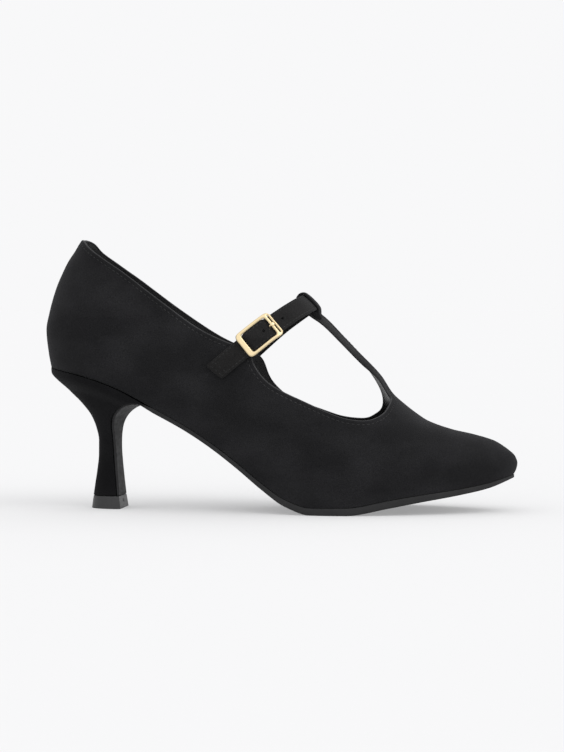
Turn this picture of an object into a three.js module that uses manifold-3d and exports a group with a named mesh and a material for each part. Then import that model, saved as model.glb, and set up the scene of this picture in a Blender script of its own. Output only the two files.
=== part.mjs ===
import * as THREE from 'three';
import { mergeVertices } from 'three/addons/utils/BufferGeometryUtils.js';
import Module from 'manifold-3d';

// A right-foot T-strap pump in black suede, standing on a flared heel.
// Millimetres, +X towards the toe, +Y towards the inner (medial) side, +Z up.

// Driving sizes of the shoe
const LENGTH = 237.5;          // back of the upper to the toe tip
const BALL_WIDTH = 77;         // across the sole at the ball
const SEAT_WIDTH = 50;         // across the heel seat
const HEEL_HEIGHT = 68.6;      // underside line at the back of the seat, above the floor
const INSTEP_RISE = 108;       // highest point of the instep ridge above the sole line
const BACK_RISE = 69.6;        // back of the collar above the sole line
const WALL = 1.6;              // suede and lining together
const SOLE_EDGE = 4;           // thickest place of the sole edge
const INSOLE_THICKNESS = 2;
const GAP = 0.3;               // clearance between neighbouring pieces

// Driving sizes of the T-bar, its loop and the strap
const BAR_WIDTH = 7;
const BAR_THICKNESS = 2.6;     // folded edges make the bar thicker than the wall
const BAR_FILLET = 9;          // length over which its outer side spreads into the vamp
const FILLET_SPREAD = 5.4;     // how far it spreads there
const LOOP_WIDTH = 8.4;
const LOOP_LAYER = 1.1;        // thickness of the layer that passes over the strap
const LOOP_LIP = 1.5;          // leather behind the strap
const LOOP_FRONT_LIP = 0.9;    // leather in front of it
const LOOP_ROUNDING = 0.8;     // radius of its ends, share of its height
const STRAP_WIDTH = 10.3;
const STRAP_THICKNESS = 1.6;
const STRAP_PITCH = 38.4;      // degrees that the strap's plane leans to the floor
const STRAP_CROSSING = 0.5585; // share of the length where it crosses the ridge
const STRAP_BOW_OUTSIDE = 0.9; // how far the outer half arches above that plane
const STRAP_BOW_INSIDE = 3.8;  // how far the inner half does
const STRAP_BOW_REACH = 60;    // where the arch ends, behind the ridge
const STRAP_OUTSIDE = 72;      // ridge to the tail end on the outer side
const STRAP_SLANT = 2.2;       // the tail end is cut a little aslant
const STRAP_INSIDE = 72;       // ridge to the sewn end on the inner side
const STRAP_TURN = 0.62;       // how far down the sides the strap's line is followed
const PASSAGE_DEPTH = 0.9;     // share of the loop's clearance that is cut below the strap
const HOLE_DIAMETER = 1.5;
const HOLE_PITCH = 11.4;
const HOLE_COUNT = 2;
const FIRST_HOLE = 29.2;       // ridge to the first punched hole

// Driving sizes of the buckle
const BUCKLE_LENGTH = 19.9;
const BUCKLE_PLACE = 43.6;     // ridge to the middle of the buckle, along the strap
const BUCKLE_PLAY = 0.4;       // room between the strap and each rail
const BUCKLE_RAIL = 1.5;       // width of the two long rails
const BUCKLE_END_BAR = 2.6;    // wide bar on the tail side
const BUCKLE_THIN_BAR = 1.0;   // each of the two thin bars on the loop side
const BUCKLE_SLOT = 0.7;       // gap between the thin bars
const BUCKLE_THICKNESS = 1.5;
const BUCKLE_CORNER = 2.6;
const SLOT_ROUNDING = 0.97;    // corner of that gap, share of half its width
const BUCKLE_BEVEL = 0.3;
const PRONG_WIDTH = 2;
const PRONG_PLATE = 0.6;       // metal that lies over the inner bar
const PRONG_PIN = 0.9;         // pin that goes down through the strap

// Driving sizes of the heel
const HEEL_REACH = 54;         // back of the upper to the front of the heel seat
const HEEL_RIM = 0.5;          // how far the heel cover stands proud at the seat
const TOP_PIECE_HEIGHT = 6.4;
const TOP_PIECE_FLARE = 0.9;
const FLAP_THICKNESS = 1.2;    // sole leather that runs down the breast of the heel
const FLAP_CHAMFER = 0.3;
const SOLE_CHAMFER = 0.7;
const SOLE_START = 57.2;       // back of the upper to the place where flap and sole meet
const SEAT_BLEND = 0.84;       // level from which the heel widens out to the sole line
const HEEL_FOOT_FULLNESS = 2.3;

// Underside of the sole and line of the heel seat, with the sole's thickness.
// along: share of LENGTH, lift: share of HEEL_HEIGHT, edge: share of SOLE_EDGE.
const SOLE_LINE = [
  { along: 0.0, lift: 1.005, edge: 0.6 },
  { along: 0.09, lift: 0.942, edge: 0.6 },
  { along: 0.16, lift: 0.858, edge: 0.6 },
  { along: 0.244, lift: 0.707, edge: 0.62 },
  { along: 0.306, lift: 0.59, edge: 0.64 },
  { along: 0.371, lift: 0.445, edge: 0.68 },
  { along: 0.423, lift: 0.316, edge: 0.74 },
  { along: 0.477, lift: 0.172, edge: 0.82 },
  { along: 0.529, lift: 0.056, edge: 0.9 },
  { along: 0.582, lift: 0.0, edge: 0.92 },
  { along: 0.655, lift: 0.0, edge: 0.96 },
  { along: 0.743, lift: 0.051, edge: 0.98 },
  { along: 0.802, lift: 0.089, edge: 0.9 },
  { along: 0.89, lift: 0.14, edge: 0.74 },
  { along: 0.945, lift: 0.179, edge: 0.66 },
  { along: 1.0, lift: 0.247, edge: 0.38 },
];

// Plan of the last at the sole line and at its fullest height.
// Widths are shares of half the BALL_WIDTH, swing is a share of it too.
const LAST_PLAN = [
  { along: 0.0, outer: 0.62, inner: 0.62, fullOuter: 0.72, fullInner: 0.72, swing: 0.0 },
  { along: 0.12, outer: 0.65, inner: 0.65, fullOuter: 0.76, fullInner: 0.76, swing: 0.0 },
  { along: 0.22, outer: 0.6, inner: 0.56, fullOuter: 0.78, fullInner: 0.77, swing: 0.0 },
  { along: 0.34, outer: 0.56, inner: 0.47, fullOuter: 0.83, fullInner: 0.81, swing: 0.0 },
  { along: 0.44, outer: 0.71, inner: 0.56, fullOuter: 0.91, fullInner: 0.88, swing: 0.0 },
  { along: 0.54, outer: 0.92, inner: 0.8, fullOuter: 1.01, fullInner: 0.97, swing: 0.0 },
  { along: 0.63, outer: 1.0, inner: 0.96, fullOuter: 1.06, fullInner: 1.05, swing: 0.0 },
  { along: 0.7, outer: 0.97, inner: 1.0, fullOuter: 1.03, fullInner: 1.07, swing: 0.01 },
  { along: 0.78, outer: 0.88, inner: 0.92, fullOuter: 0.93, fullInner: 0.98, swing: 0.04 },
  { along: 0.88, outer: 0.76, inner: 0.76, fullOuter: 0.81, fullInner: 0.81, swing: 0.08 },
  { along: 1.0, outer: 0.6, inner: 0.6, fullOuter: 0.68, fullInner: 0.68, swing: 0.11 },
];

// Height of the ridge above the sole line as a share of INSTEP_RISE, and the
// height of the fullest place as a share of the ridge's own height.
const LAST_RISE = [
  { along: 0.0, ridge: 0.77, full: 0.24 },
  { along: 0.09, ridge: 0.8, full: 0.24 },
  { along: 0.17, ridge: 0.84, full: 0.25 },
  { along: 0.26, ridge: 0.9, full: 0.26 },
  { along: 0.34, ridge: 0.955, full: 0.27 },
  { along: 0.42, ridge: 0.99, full: 0.28 },
  { along: 0.48, ridge: 0.985, full: 0.28 },
  { along: 0.535, ridge: 0.935, full: 0.27 },
  { along: 0.586, ridge: 0.869, full: 0.26 },
  { along: 0.637, ridge: 0.759, full: 0.25 },
  { along: 0.688, ridge: 0.639, full: 0.25 },
  { along: 0.713, ridge: 0.568, full: 0.26 },
  { along: 0.737, ridge: 0.476, full: 0.28 },
  { along: 0.763, ridge: 0.414, full: 0.3 },
  { along: 0.788, ridge: 0.363, full: 0.31 },
  { along: 0.813, ridge: 0.32, full: 0.32 },
  { along: 0.864, ridge: 0.267, full: 0.34 },
  { along: 0.914, ridge: 0.227, full: 0.36 },
  { along: 0.96, ridge: 0.18, full: 0.4 },
  { along: 1.0, ridge: 0.116, full: 0.5 },
];

// Profile of the back seam: lean is a share of BACK_RISE, by height on the seam.
const BACK_CURVE = [
  { height: 0.0, lean: 0.034 },
  { height: 0.09, lean: 0.017 },
  { height: 0.27, lean: 0.0 },
  { height: 0.39, lean: 0.022 },
  { height: 0.57, lean: 0.074 },
  { height: 0.68, lean: 0.121 },
  { height: 0.766, lean: 0.164 },
  { height: 0.83, lean: 0.207 },
  { height: 0.9, lean: 0.249 },
  { height: 0.95, lean: 0.292 },
  { height: 1.1, lean: 0.4 },
];

// Profile of the toe: tuck is a share of SOLE_EDGE behind the toe tip.
const TOE_CURVE = [
  { height: 0.0, tuck: 0.4 },
  { height: 0.2, tuck: 0.12 },
  { height: 0.42, tuck: 0.0 },
  { height: 0.7, tuck: 0.3 },
  { height: 1.0, tuck: 1.3 },
];

// Top edge of the quarters and of the cut-outs beside the T-bar.
// along: share of LENGTH, outer and inner: height above the sole line, share of BACK_RISE.
const COLLAR_LINE = [
  { along: 0.086, outer: 0.975, inner: 0.975 },
  { along: 0.1, outer: 0.944, inner: 0.915 },
  { along: 0.13, outer: 0.907, inner: 0.865 },
  { along: 0.181, outer: 0.866, inner: 0.812 },
  { along: 0.27, outer: 0.803, inner: 0.746 },
  { along: 0.351, outer: 0.776, inner: 0.725 },
  { along: 0.418, outer: 0.832, inner: 0.768 },
  { along: 0.443, outer: 0.875, inner: 0.782 },
];
const CUT_OUT_LINE = [
  { along: 0.457, outer: 0.868, inner: 0.7 },
  { along: 0.464, outer: 0.81, inner: 0.67 },
  { along: 0.491, outer: 0.757, inner: 0.638 },
  { along: 0.527, outer: 0.755, inner: 0.648 },
  { along: 0.571, outer: 0.741, inner: 0.648 },
  { along: 0.612, outer: 0.681, inner: 0.602 },
  { along: 0.653, outer: 0.628, inner: 0.583 },
];

// Front end of each cut-out, in the same shares. The inner one ends further back.
const CUT_OUT_END = {
  outer: [
    { along: 0.69, height: 0.597 },
    { along: 0.714, height: 0.592 },
    { along: 0.733, height: 0.62 },
    { along: 0.7405, height: 0.68 },
  ],
  inner: [
    { along: 0.673, height: 0.584 },
    { along: 0.689, height: 0.606 },
    { along: 0.702, height: 0.63 },
    { along: 0.71, height: 0.69 },
  ],
};

// Inner side of the T-bar's foot seen from above, where the vamp's throat runs aslant.
// along: share of LENGTH, spread: share of half the BALL_WIDTH beyond the bar's side.
const THROAT_INSIDE = [
  { along: 0.612, spread: 0.0 },
  { along: 0.636, spread: 0.02 },
  { along: 0.655, spread: 0.11 },
  { along: 0.674, spread: 0.25 },
  { along: 0.692, spread: 0.4 },
  { along: 0.704, spread: 0.52 },
  { along: 0.71, spread: 0.625 },
];

// Heel block, by level between its foot and the seat.
// back, front: shares of HEEL_REACH. half: share of half the SEAT_WIDTH.
const HEEL_LEVELS = [
  { level: 0.0, back: 0.438, front: 0.683, half: 0.4 },
  { level: 0.11, back: 0.456, front: 0.673, half: 0.38 },
  { level: 0.21, back: 0.473, front: 0.664, half: 0.362 },
  { level: 0.35, back: 0.489, front: 0.65, half: 0.344 },
  { level: 0.47, back: 0.49, front: 0.648, half: 0.344 },
  { level: 0.57, back: 0.468, front: 0.65, half: 0.372 },
  { level: 0.67, back: 0.42, front: 0.663, half: 0.46 },
  { level: 0.76, back: 0.331, front: 0.7, half: 0.59 },
  { level: 0.845, back: 0.214, front: 0.763, half: 0.73 },
  { level: 0.925, back: 0.113, front: 0.852, half: 0.87 },
  { level: 0.976, back: 0.045, front: 0.944, half: 0.96 },
  { level: 1.0, back: 0.03, front: 1.0, half: 1.0 },
];

// Outer face of the sole leather from the waist round the cove and down the breast.
// reach: share of HEEL_REACH, lift: share of HEEL_HEIGHT, half: share of half the SEAT_WIDTH.
const FLAP_LINE = [
  { reach: 0.944, lift: 0.757, half: 0.84 },
  { reach: 0.861, lift: 0.754, half: 0.77 },
  { reach: 0.783, lift: 0.729, half: 0.66 },
  { reach: 0.726, lift: 0.685, half: 0.54 },
  { reach: 0.693, lift: 0.627, half: 0.42 },
  { reach: 0.68, lift: 0.554, half: 0.345 },
  { reach: 0.678, lift: 0.437, half: 0.32 },
  { reach: 0.694, lift: 0.262, half: 0.338 },
  { reach: 0.713, lift: 0.104, half: 0.376 },
];

// How fast the back curve and the toe curve fade along the last
const BACK_FADE = 4;
const TOE_FADE = 14;
const SEAM_LIMIT = 1.2;         // the back curve straightens above the collar up to here

// Fineness of the curved surfaces
const STATIONS = 50;
const LOWER_STEPS = 4;
const UPPER_STEPS = 9;
const COLLAR_STEPS = 22;
const CUT_OUT_STEPS = 30;
const ARC_STEPS = 6;
const THROAT_STEPS = 14;
const SLIVER = 0.003;          // corners of a finished solid that lie closer are joined, mm
const SOLE_STEPS = 44;
const FLAP_STEPS = 20;
const HEEL_STEPS = 12;
const STRAP_STEPS = 64;
const STRAP_ROWS = 120;
const CORNER_PITCH = 0.7;       // spacing of points round a buckle corner
const RAIL_PITCH = 2.2;         // spacing of points along a buckle rail
const END_MARGIN = 0.001;       // the two ends of the last are points, so normals stop short

// Round ends of the plan, as shares of LENGTH, and how full they are
const HEEL_END = 0.112;
const HEEL_FULLNESS = 2.1;
const TOE_END = 0.77;
const TOE_FULLNESS = 1.9;

const wasm = await Module();
wasm.setup();

// Smooth value of one column of a table, with no overshoot between its rows
function valueAt(table, column, at, key = 'along') {
  const last = table.length - 1;
  if (at <= table[0][key]) return table[0][column];
  if (at >= table[last][key]) return table[last][column];
  let i = 0;
  while (at > table[i + 1][key]) i += 1;
  const slope = (k) => (table[k + 1][column] - table[k][column]) / (table[k + 1][key] - table[k][key]);
  const tangent = (k) => {
    if (k === 0) return slope(0);
    if (k === last) return slope(last - 1);
    const before = slope(k - 1);
    const after = slope(k);
    return before * after <= 0 ? 0 : (2 * before * after) / (before + after);
  };
  const span = table[i + 1][key] - table[i][key];
  const t = (at - table[i][key]) / span;
  const rise = table[i + 1][column] - table[i][column];
  const startTangent = tangent(i) * span;
  const endTangent = tangent(i + 1) * span;
  const bend = 2 * rise - startTangent - endTangent;
  return table[i][column] + t * (startTangent + t * (3 * rise - 2 * startTangent - endTangent - t * bend));
}

// The last

function roundEnds(along) {
  const intoHeel = Math.max(0, 1 - along / HEEL_END);
  const intoToe = Math.max(0, (along - TOE_END) / (1 - TOE_END));
  const heel = (1 - intoHeel ** HEEL_FULLNESS) ** (1 / HEEL_FULLNESS);
  const toe = (1 - intoToe ** TOE_FULLNESS) ** (1 / TOE_FULLNESS);
  return Math.max(0, heel) * Math.max(0, toe);
}

function soleUnderside(along) {
  return valueAt(SOLE_LINE, 'lift', along) * HEEL_HEIGHT;
}

function soleTop(along) {
  return soleUnderside(along) + valueAt(SOLE_LINE, 'edge', along) * SOLE_EDGE;
}

function featherHeight(along) {
  return soleTop(along) + GAP;
}

function ridgeRise(along) {
  return valueAt(LAST_RISE, 'ridge', along) * INSTEP_RISE;
}

function swing(along) {
  return (valueAt(LAST_PLAN, 'swing', along) * BALL_WIDTH) / 2;
}

// side is -1 on the outer side and +1 on the inner side
function halfWidth(along, side, full) {
  const columns = full ? ['fullOuter', 'fullInner'] : ['outer', 'inner'];
  const share = valueAt(LAST_PLAN, side < 0 ? columns[0] : columns[1], along);
  return (share * BALL_WIDTH * roundEnds(along)) / 2;
}

// Lengthwise place of a point at a height share v, with the back and toe curves
function lengthwise(along, v, rise) {
  const seamHeight = THREE.MathUtils.clamp((v * rise) / BACK_RISE, 0, SEAM_LIMIT);
  const overTop = Math.max(0, seamHeight - 1);
  const lean = valueAt(BACK_CURVE, 'lean', seamHeight, 'height') * BACK_RISE * (1 - overTop);
  const tuck = valueAt(TOE_CURVE, 'tuck', v, 'height') * SOLE_EDGE;
  return along * LENGTH + lean * (1 - along) ** BACK_FADE - tuck * along ** TOE_FADE;
}

// A point of the last. turn runs from 0 at the sole line through 0.5 at the
// fullest place to 1 on the ridge.
function lastPoint(along, turn, side) {
  const rise = ridgeRise(along);
  const fullShare = valueAt(LAST_RISE, 'full', along);
  const foot = halfWidth(along, side, false);
  const full = halfWidth(along, side, true);
  let v;
  let half;
  if (turn < 0.5) {
    v = turn * 2 * fullShare;
    half = foot + (full - foot) * Math.sin(turn * Math.PI);
  } else {
    const angle = (turn - 0.5) * Math.PI;
    v = fullShare + (1 - fullShare) * Math.sin(angle);
    half = full * Math.cos(angle);
  }
  return new THREE.Vector3(
    lengthwise(along, v, rise),
    swing(along) + side * half,
    featherHeight(along) + v * rise,
  );
}

function lastNormal(along, turn, side) {
  const step = 0.004;
  const a0 = THREE.MathUtils.clamp(along - step, END_MARGIN, 1 - END_MARGIN);
  const a1 = THREE.MathUtils.clamp(along + step, END_MARGIN, 1 - END_MARGIN);
  const t0 = Math.max(0, turn - step);
  const t1 = Math.min(1, turn + step);
  const lengthways = lastPoint(a1, turn, side).sub(lastPoint(a0, turn, side));
  let upwards = lastPoint(along, t1, side).sub(lastPoint(along, t0, side));
  if (turn > 1 - step) {
    upwards = lastPoint(along, t0, -side).sub(lastPoint(along, t0, side));
  }
  return lengthways.cross(upwards).multiplyScalar(-side).normalize();
}

// Solids from grids of points

function toManifold(geometry) {
  geometry.deleteAttribute('normal');
  geometry.deleteAttribute('uv');
  const merged = mergeVertices(geometry, 1e-4);
  const index = merged.index.array;
  const triangles = [];
  for (let i = 0; i < index.length; i += 3) {
    const [a, b, c] = [index[i], index[i + 1], index[i + 2]];
    if (a !== b && b !== c && c !== a) triangles.push(a, b, c);
  }
  const mesh = new wasm.Mesh({
    numProp: 3,
    vertProperties: new Float32Array(merged.attributes.position.array),
    triVerts: new Uint32Array(triangles),
  });
  return new wasm.Manifold(mesh);
}

function centreOf(points) {
  return points.reduce((sum, p) => sum.add(p), new THREE.Vector3()).divideScalar(points.length);
}

// rows is a list of closed loops of points, each with as many points as the next
function solidFromLoops(rows, capEnds) {
  const positions = [];
  const push = (...points) => points.forEach((p) => positions.push(p.x, p.y, p.z));
  for (let i = 0; i + 1 < rows.length; i += 1) {
    for (let j = 0; j < rows[i].length; j += 1) {
      const k = (j + 1) % rows[i].length;
      push(rows[i][j], rows[i + 1][j], rows[i + 1][k]);
      push(rows[i][j], rows[i + 1][k], rows[i][k]);
    }
  }
  if (capEnds) {
    const first = rows[0];
    const last = rows[rows.length - 1];
    const [firstCentre, lastCentre] = [centreOf(first), centreOf(last)];
    for (let j = 0; j < first.length; j += 1) {
      const k = (j + 1) % first.length;
      push(firstCentre, first[j], first[k]);
      push(lastCentre, last[k], last[j]);
    }
  }
  const geometry = new THREE.BufferGeometry();
  geometry.setAttribute('position', new THREE.Float32BufferAttribute(positions, 3));
  const solid = toManifold(geometry);
  return solid.volume() < 0 ? toManifold(flipped(geometry)) : solid;
}

function flipped(geometry) {
  const p = geometry.attributes.position;
  for (let i = 0; i < p.count; i += 3) {
    const [x, y, z] = [p.getX(i), p.getY(i), p.getZ(i)];
    p.setXYZ(i, p.getX(i + 1), p.getY(i + 1), p.getZ(i + 1));
    p.setXYZ(i + 1, x, y, z);
  }
  return geometry;
}

// A side-view outline (x, z) made solid between two values of y
function sideSolid(outline, yLow, yHigh) {
  const shape = new THREE.Shape(outline.map(([x, z]) => new THREE.Vector2(x, z)));
  const geometry = new THREE.ExtrudeGeometry(shape, { depth: yHigh - yLow, bevelEnabled: false });
  geometry.rotateX(Math.PI / 2);
  geometry.translate(0, yHigh, 0);
  return toManifold(geometry);
}

// A plan outline (x, y) made solid between two heights
function planSolid(outline, zLow, zHigh) {
  const shape = new THREE.Shape(outline.map(([x, y]) => new THREE.Vector2(x, y)));
  const geometry = new THREE.ExtrudeGeometry(shape, { depth: zHigh - zLow, bevelEnabled: false });
  geometry.translate(0, 0, zLow);
  return toManifold(geometry);
}

function stations(count) {
  return Array.from({ length: count + 1 }, (_, i) => (1 - Math.cos((Math.PI * i) / count)) / 2);
}

// Upper

function turns() {
  const lower = Array.from({ length: LOWER_STEPS }, (_, i) => (0.5 * i) / LOWER_STEPS);
  const upper = Array.from({ length: UPPER_STEPS + 1 }, (_, i) => 0.5 + (0.5 * i) / UPPER_STEPS);
  return [...lower, ...upper];
}

// One closed skin of the last, set in by a wall and reaching below its sole line
function lastSkin(inset, below) {
  const around = turns();
  const loops = stations(STATIONS).map((along) => {
    const row = (side) => around.map((turn) => {
      const point = lastPoint(along, turn, side);
      if (inset === 0) return point;
      return point.addScaledVector(skinNormal(along, turn, side), -inset);
    });
    const outer = row(-1);
    const inner = row(1).reverse();
    inner.shift();
    const sink = (p) => new THREE.Vector3(p.x, p.y, p.z - below);
    const foot = below === 0 ? [] : [sink(inner[inner.length - 1]), sink(outer[0])];
    return [...outer, ...inner, ...foot];
  });
  return solidFromLoops(loops, false);
}

// Normal of the skin; on the two end lines it lies in the middle plane
function skinNormal(along, turn, side) {
  const normal = lastNormal(along, turn, side);
  const margin = END_MARGIN / 2;
  if (along < margin || along > 1 - margin || turn > 1 - margin) normal.y = 0;
  return normal.normalize();
}

function topEdge(side) {
  const column = side < 0 ? 'outer' : 'inner';
  const place = (along, height) => {
    return new THREE.Vector3(along * LENGTH, featherHeight(along) + height * BACK_RISE, 0);
  };
  const collar = COLLAR_LINE.map((row) => place(row.along, row[column]));
  const cutOut = CUT_OUT_LINE.map((row) => place(row.along, row[column]));
  cutOut.push(...CUT_OUT_END[column].map((row) => place(row.along, row.height)));
  const collarLine = new THREE.CatmullRomCurve3(collar, false, 'centripetal');
  const cutOutLine = new THREE.CatmullRomCurve3(cutOut, false, 'centripetal');
  const points = [...collarLine.getPoints(COLLAR_STEPS), ...cutOutLine.getPoints(CUT_OUT_STEPS)];
  return points.map((p) => [p.x, p.y]);
}

// Outline of the T-bar's foot seen from above: a fillet outside, an aslant throat inside
function barFoot(side, frontX) {
  if (side > 0) {
    const place = (row) => {
      return new THREE.Vector2(row.along * LENGTH, (BAR_WIDTH + row.spread * BALL_WIDTH) / 2);
    };
    const line = new THREE.SplineCurve(THROAT_INSIDE.map(place));
    return line.getPoints(THROAT_STEPS).map((p) => [p.x, p.y]);
  }
  const fillet = [];
  for (let i = 0; i <= ARC_STEPS; i += 1) {
    const angle = (i / ARC_STEPS) * (Math.PI / 2);
    const x = frontX - BAR_FILLET * (1 - Math.sin(angle));
    fillet.push([x, side * (BAR_WIDTH / 2 + FILLET_SPREAD * (1 - Math.cos(angle)))]);
  }
  return fillet;
}

// Everything above the top edge on one side of the T-bar
function topCutter(side) {
  const far = BALL_WIDTH;
  const ceiling = featherHeight(0) + 2 * INSTEP_RISE;
  const edge = topEdge(side);
  const frontX = edge[edge.length - 1][0];
  const behind = -LENGTH / 8;
  const outline = [[behind, ceiling], [behind, edge[0][1]], ...edge, [frontX, ceiling]];
  const above = side < 0 ? sideSolid(outline, -far, 0) : sideSolid(outline, 0, far);
  const start = [[behind, side * far], [behind, (side * BAR_WIDTH) / 2]];
  const plan = [...start, ...barFoot(side, frontX), [frontX, side * far]];
  return above.intersect(planSolid(side < 0 ? plan : plan.reverse(), -1, ceiling + 1));
}

const loopReach = STRAP_WIDTH / 2 + GAP + LOOP_LIP;
const loopFront = STRAP_WIDTH / 2 + GAP + LOOP_FRONT_LIP;

// Place of the loop: a point from its distance down the ridge and its height
function loopPlace() {
  const { point } = strapFrame(0);
  const span = loopReach / LENGTH;
  const ridge = new THREE.Vector3().subVectors(
    lastPoint(STRAP_CROSSING + span, 1, 1),
    lastPoint(STRAP_CROSSING - span, 1, 1),
  ).normalize();
  const out = new THREE.Vector3(-ridge.z, 0, ridge.x);
  return (down, height) => {
    const p = point.clone().addScaledVector(ridge, down).addScaledVector(out, height);
    return [p.x, p.z];
  };
}

// The middle strip behind the T-bar's loop
function backCutter() {
  const at = loopPlace();
  const ceiling = featherHeight(0) + 2 * INSTEP_RISE;
  const low = at(-loopReach + LOOP_LIP / 2, -BACK_RISE / 3);
  const high = at(-loopReach + LOOP_LIP / 2, BACK_RISE);
  const edge = topEdge(-1).filter(([x, z]) => x < low[0] - 1 && z > low[1]);
  const behind = -LENGTH / 8;
  const outline = [[behind, ceiling], [behind, edge[0][1]], ...edge, low, high, [high[0], ceiling]];
  return sideSolid(outline, -BAR_WIDTH / 2 - 1, BAR_WIDTH / 2 + 1);
}

// Inner layer of the T-bar, from its loop down to the vamp
function barCore() {
  const layer = lastSkin(0, 0).subtract(lastSkin(BAR_THICKNESS, WALL * 4));
  const back = loopPlace()(-loopReach + LOOP_LIP / 2, 0)[0];
  const front = CUT_OUT_END.outer[CUT_OUT_END.outer.length - 1].along * LENGTH - BAR_FILLET / 3;
  const floor = featherHeight(front / LENGTH) + BACK_RISE / 3;
  const roof = floor + INSTEP_RISE;
  const outline = [[back, floor], [front, floor], [front, roof], [back, roof]];
  return layer.intersect(sideSolid(outline, -BAR_WIDTH / 2, BAR_WIDTH / 2));
}

// Rounded block on top of the bar from which the strap's passage is cut
function loopBlock() {
  const at = loopPlace();
  const height = 2 * GAP + STRAP_THICKNESS + LOOP_LAYER;
  const corner = height * LOOP_ROUNDING;
  const outline = [at(-loopReach, -BAR_THICKNESS)];
  for (let i = 0; i <= ARC_STEPS; i += 1) {
    const angle = (i / ARC_STEPS) * (Math.PI / 2);
    outline.push(at(-loopReach + corner * (1 - Math.cos(angle)), height - corner * (1 - Math.sin(angle))));
  }
  for (let i = 0; i <= ARC_STEPS; i += 1) {
    const angle = (i / ARC_STEPS) * (Math.PI / 2);
    outline.push(at(loopFront - corner * (1 - Math.sin(angle)), height - corner * (1 - Math.cos(angle))));
  }
  const foot = at(2 * loopFront, -BAR_THICKNESS + LOOP_ROUNDING / 2);
  outline.push(at(loopFront, 0), foot, at(loopFront, -BAR_THICKNESS - LOOP_ROUNDING / 2));
  return sideSolid(outline.reverse(), -LOOP_WIDTH / 2, LOOP_WIDTH / 2);
}

function makeUpper() {
  const shell = lastSkin(0, 0).subtract(lastSkin(WALL, WALL * 4));
  const open = shell.subtract(topCutter(-1)).subtract(topCutter(1)).subtract(backCutter());
  return open.add(barCore()).add(loopBlock()).subtract(strapSolid(GAP));
}

// Strap

// The strap's middle line lies where a leaning plane meets the last.
// distance is measured from the ridge, positive on the outer side.
const BOW_PEAK = 27 / 4;       // brings the arch's curve t (1 - t) squared up to one
const strapTable = buildStrapTable();

function strapSurfacePoint(turn, side) {
  const top = lastPoint(STRAP_CROSSING, 1, side);
  const slope = Math.tan(THREE.MathUtils.degToRad(STRAP_PITCH));
  const bow = side < 0 ? STRAP_BOW_OUTSIDE : STRAP_BOW_INSIDE;
  const lineAt = (x) => {
    const t = THREE.MathUtils.clamp((top.x - x) / STRAP_BOW_REACH, 0, 1);
    return top.z + slope * (x - top.x) + BOW_PEAK * bow * t * (1 - t) ** 2;
  };
  let low = STRAP_CROSSING - STRAP_OUTSIDE / LENGTH;
  let high = STRAP_CROSSING + STRAP_WIDTH / 2 / LENGTH;
  for (let i = 0; i < STRAP_ROWS / 3; i += 1) {
    const middle = (low + high) / 2;
    const p = lastPoint(middle, turn, side);
    if (p.z > lineAt(p.x)) low = middle;
    else high = middle;
  }
  const along = (low + high) / 2;
  return { point: lastPoint(along, turn, side), normal: skinNormal(along, turn, side) };
}

function buildStrapTable() {
  const walk = (side) => {
    const rows = [];
    let distance = 0;
    for (let i = 0; i <= STRAP_ROWS; i += 1) {
      const turn = 1 - (STRAP_TURN * i) / STRAP_ROWS;
      const here = strapSurfacePoint(turn, side);
      if (i > 0) distance += here.point.distanceTo(rows[i - 1].point);
      rows.push({ ...here, distance });
    }
    return rows;
  };
  const outer = walk(-1);
  const inner = walk(1).slice(1).reverse().map((row) => ({ ...row, distance: -row.distance }));
  return [...inner, ...outer];
}

function strapFrame(distance) {
  let i = 0;
  while (i < strapTable.length - 2 && strapTable[i + 1].distance < distance) i += 1;
  const a = strapTable[i];
  const b = strapTable[i + 1];
  const t = (distance - a.distance) / (b.distance - a.distance);
  const point = a.point.clone().lerp(b.point, t);
  const normal = a.normal.clone().lerp(b.normal, t).normalize();
  const before = strapTable[Math.max(0, i - 2)].point;
  const after = strapTable[Math.min(strapTable.length - 1, i + 3)].point;
  const forward = after.clone().sub(before).normalize();
  const across = new THREE.Vector3().crossVectors(normal, forward).normalize();
  return { point, normal, across };
}

// A point by distance along the strap, place across it and height above the last
function strapPoint(distance, across, height) {
  const frame = strapFrame(distance);
  return frame.point.addScaledVector(frame.across, across).addScaledVector(frame.normal, height);
}

// The strap as a swept strip; swell makes the same strip larger for its passage
function strapSolid(swell) {
  const half = STRAP_WIDTH / 2 + swell;
  const low = GAP - swell * PASSAGE_DEPTH;
  const high = GAP + STRAP_THICKNESS + swell;
  const loops = [];
  for (let i = 0; i <= STRAP_STEPS; i += 1) {
    const d = -STRAP_INSIDE + ((STRAP_INSIDE + STRAP_OUTSIDE) * i) / STRAP_STEPS;
    const slant = STRAP_SLANT * Math.max(0, d / STRAP_OUTSIDE) ** BACK_FADE;
    const at = (across, height) => strapPoint(d - (slant * across) / STRAP_WIDTH, across, height);
    loops.push([at(-half, low), at(0, low), at(half, low), at(half, high), at(0, high), at(-half, high)]);
  }
  return solidFromLoops(loops, true);
}

function strapPin(distance, diameter) {
  const frame = strapFrame(distance);
  const geometry = new THREE.CylinderGeometry(diameter / 2, diameter / 2, STRAP_THICKNESS * 4, 12);
  const turn = new THREE.Quaternion().setFromUnitVectors(new THREE.Vector3(0, 1, 0), frame.normal);
  geometry.applyQuaternion(turn);
  geometry.translate(frame.point.x, frame.point.y, frame.point.z);
  return toManifold(geometry);
}

function makeStrap() {
  let strap = strapSolid(0);
  const places = Array.from({ length: HOLE_COUNT }, (_, i) => FIRST_HOLE + i * HOLE_PITCH);
  [...places, pinPlace].forEach((place) => {
    strap = strap.subtract(strapPin(place, HOLE_DIAMETER));
  });
  return strap;
}

// Buckle

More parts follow.
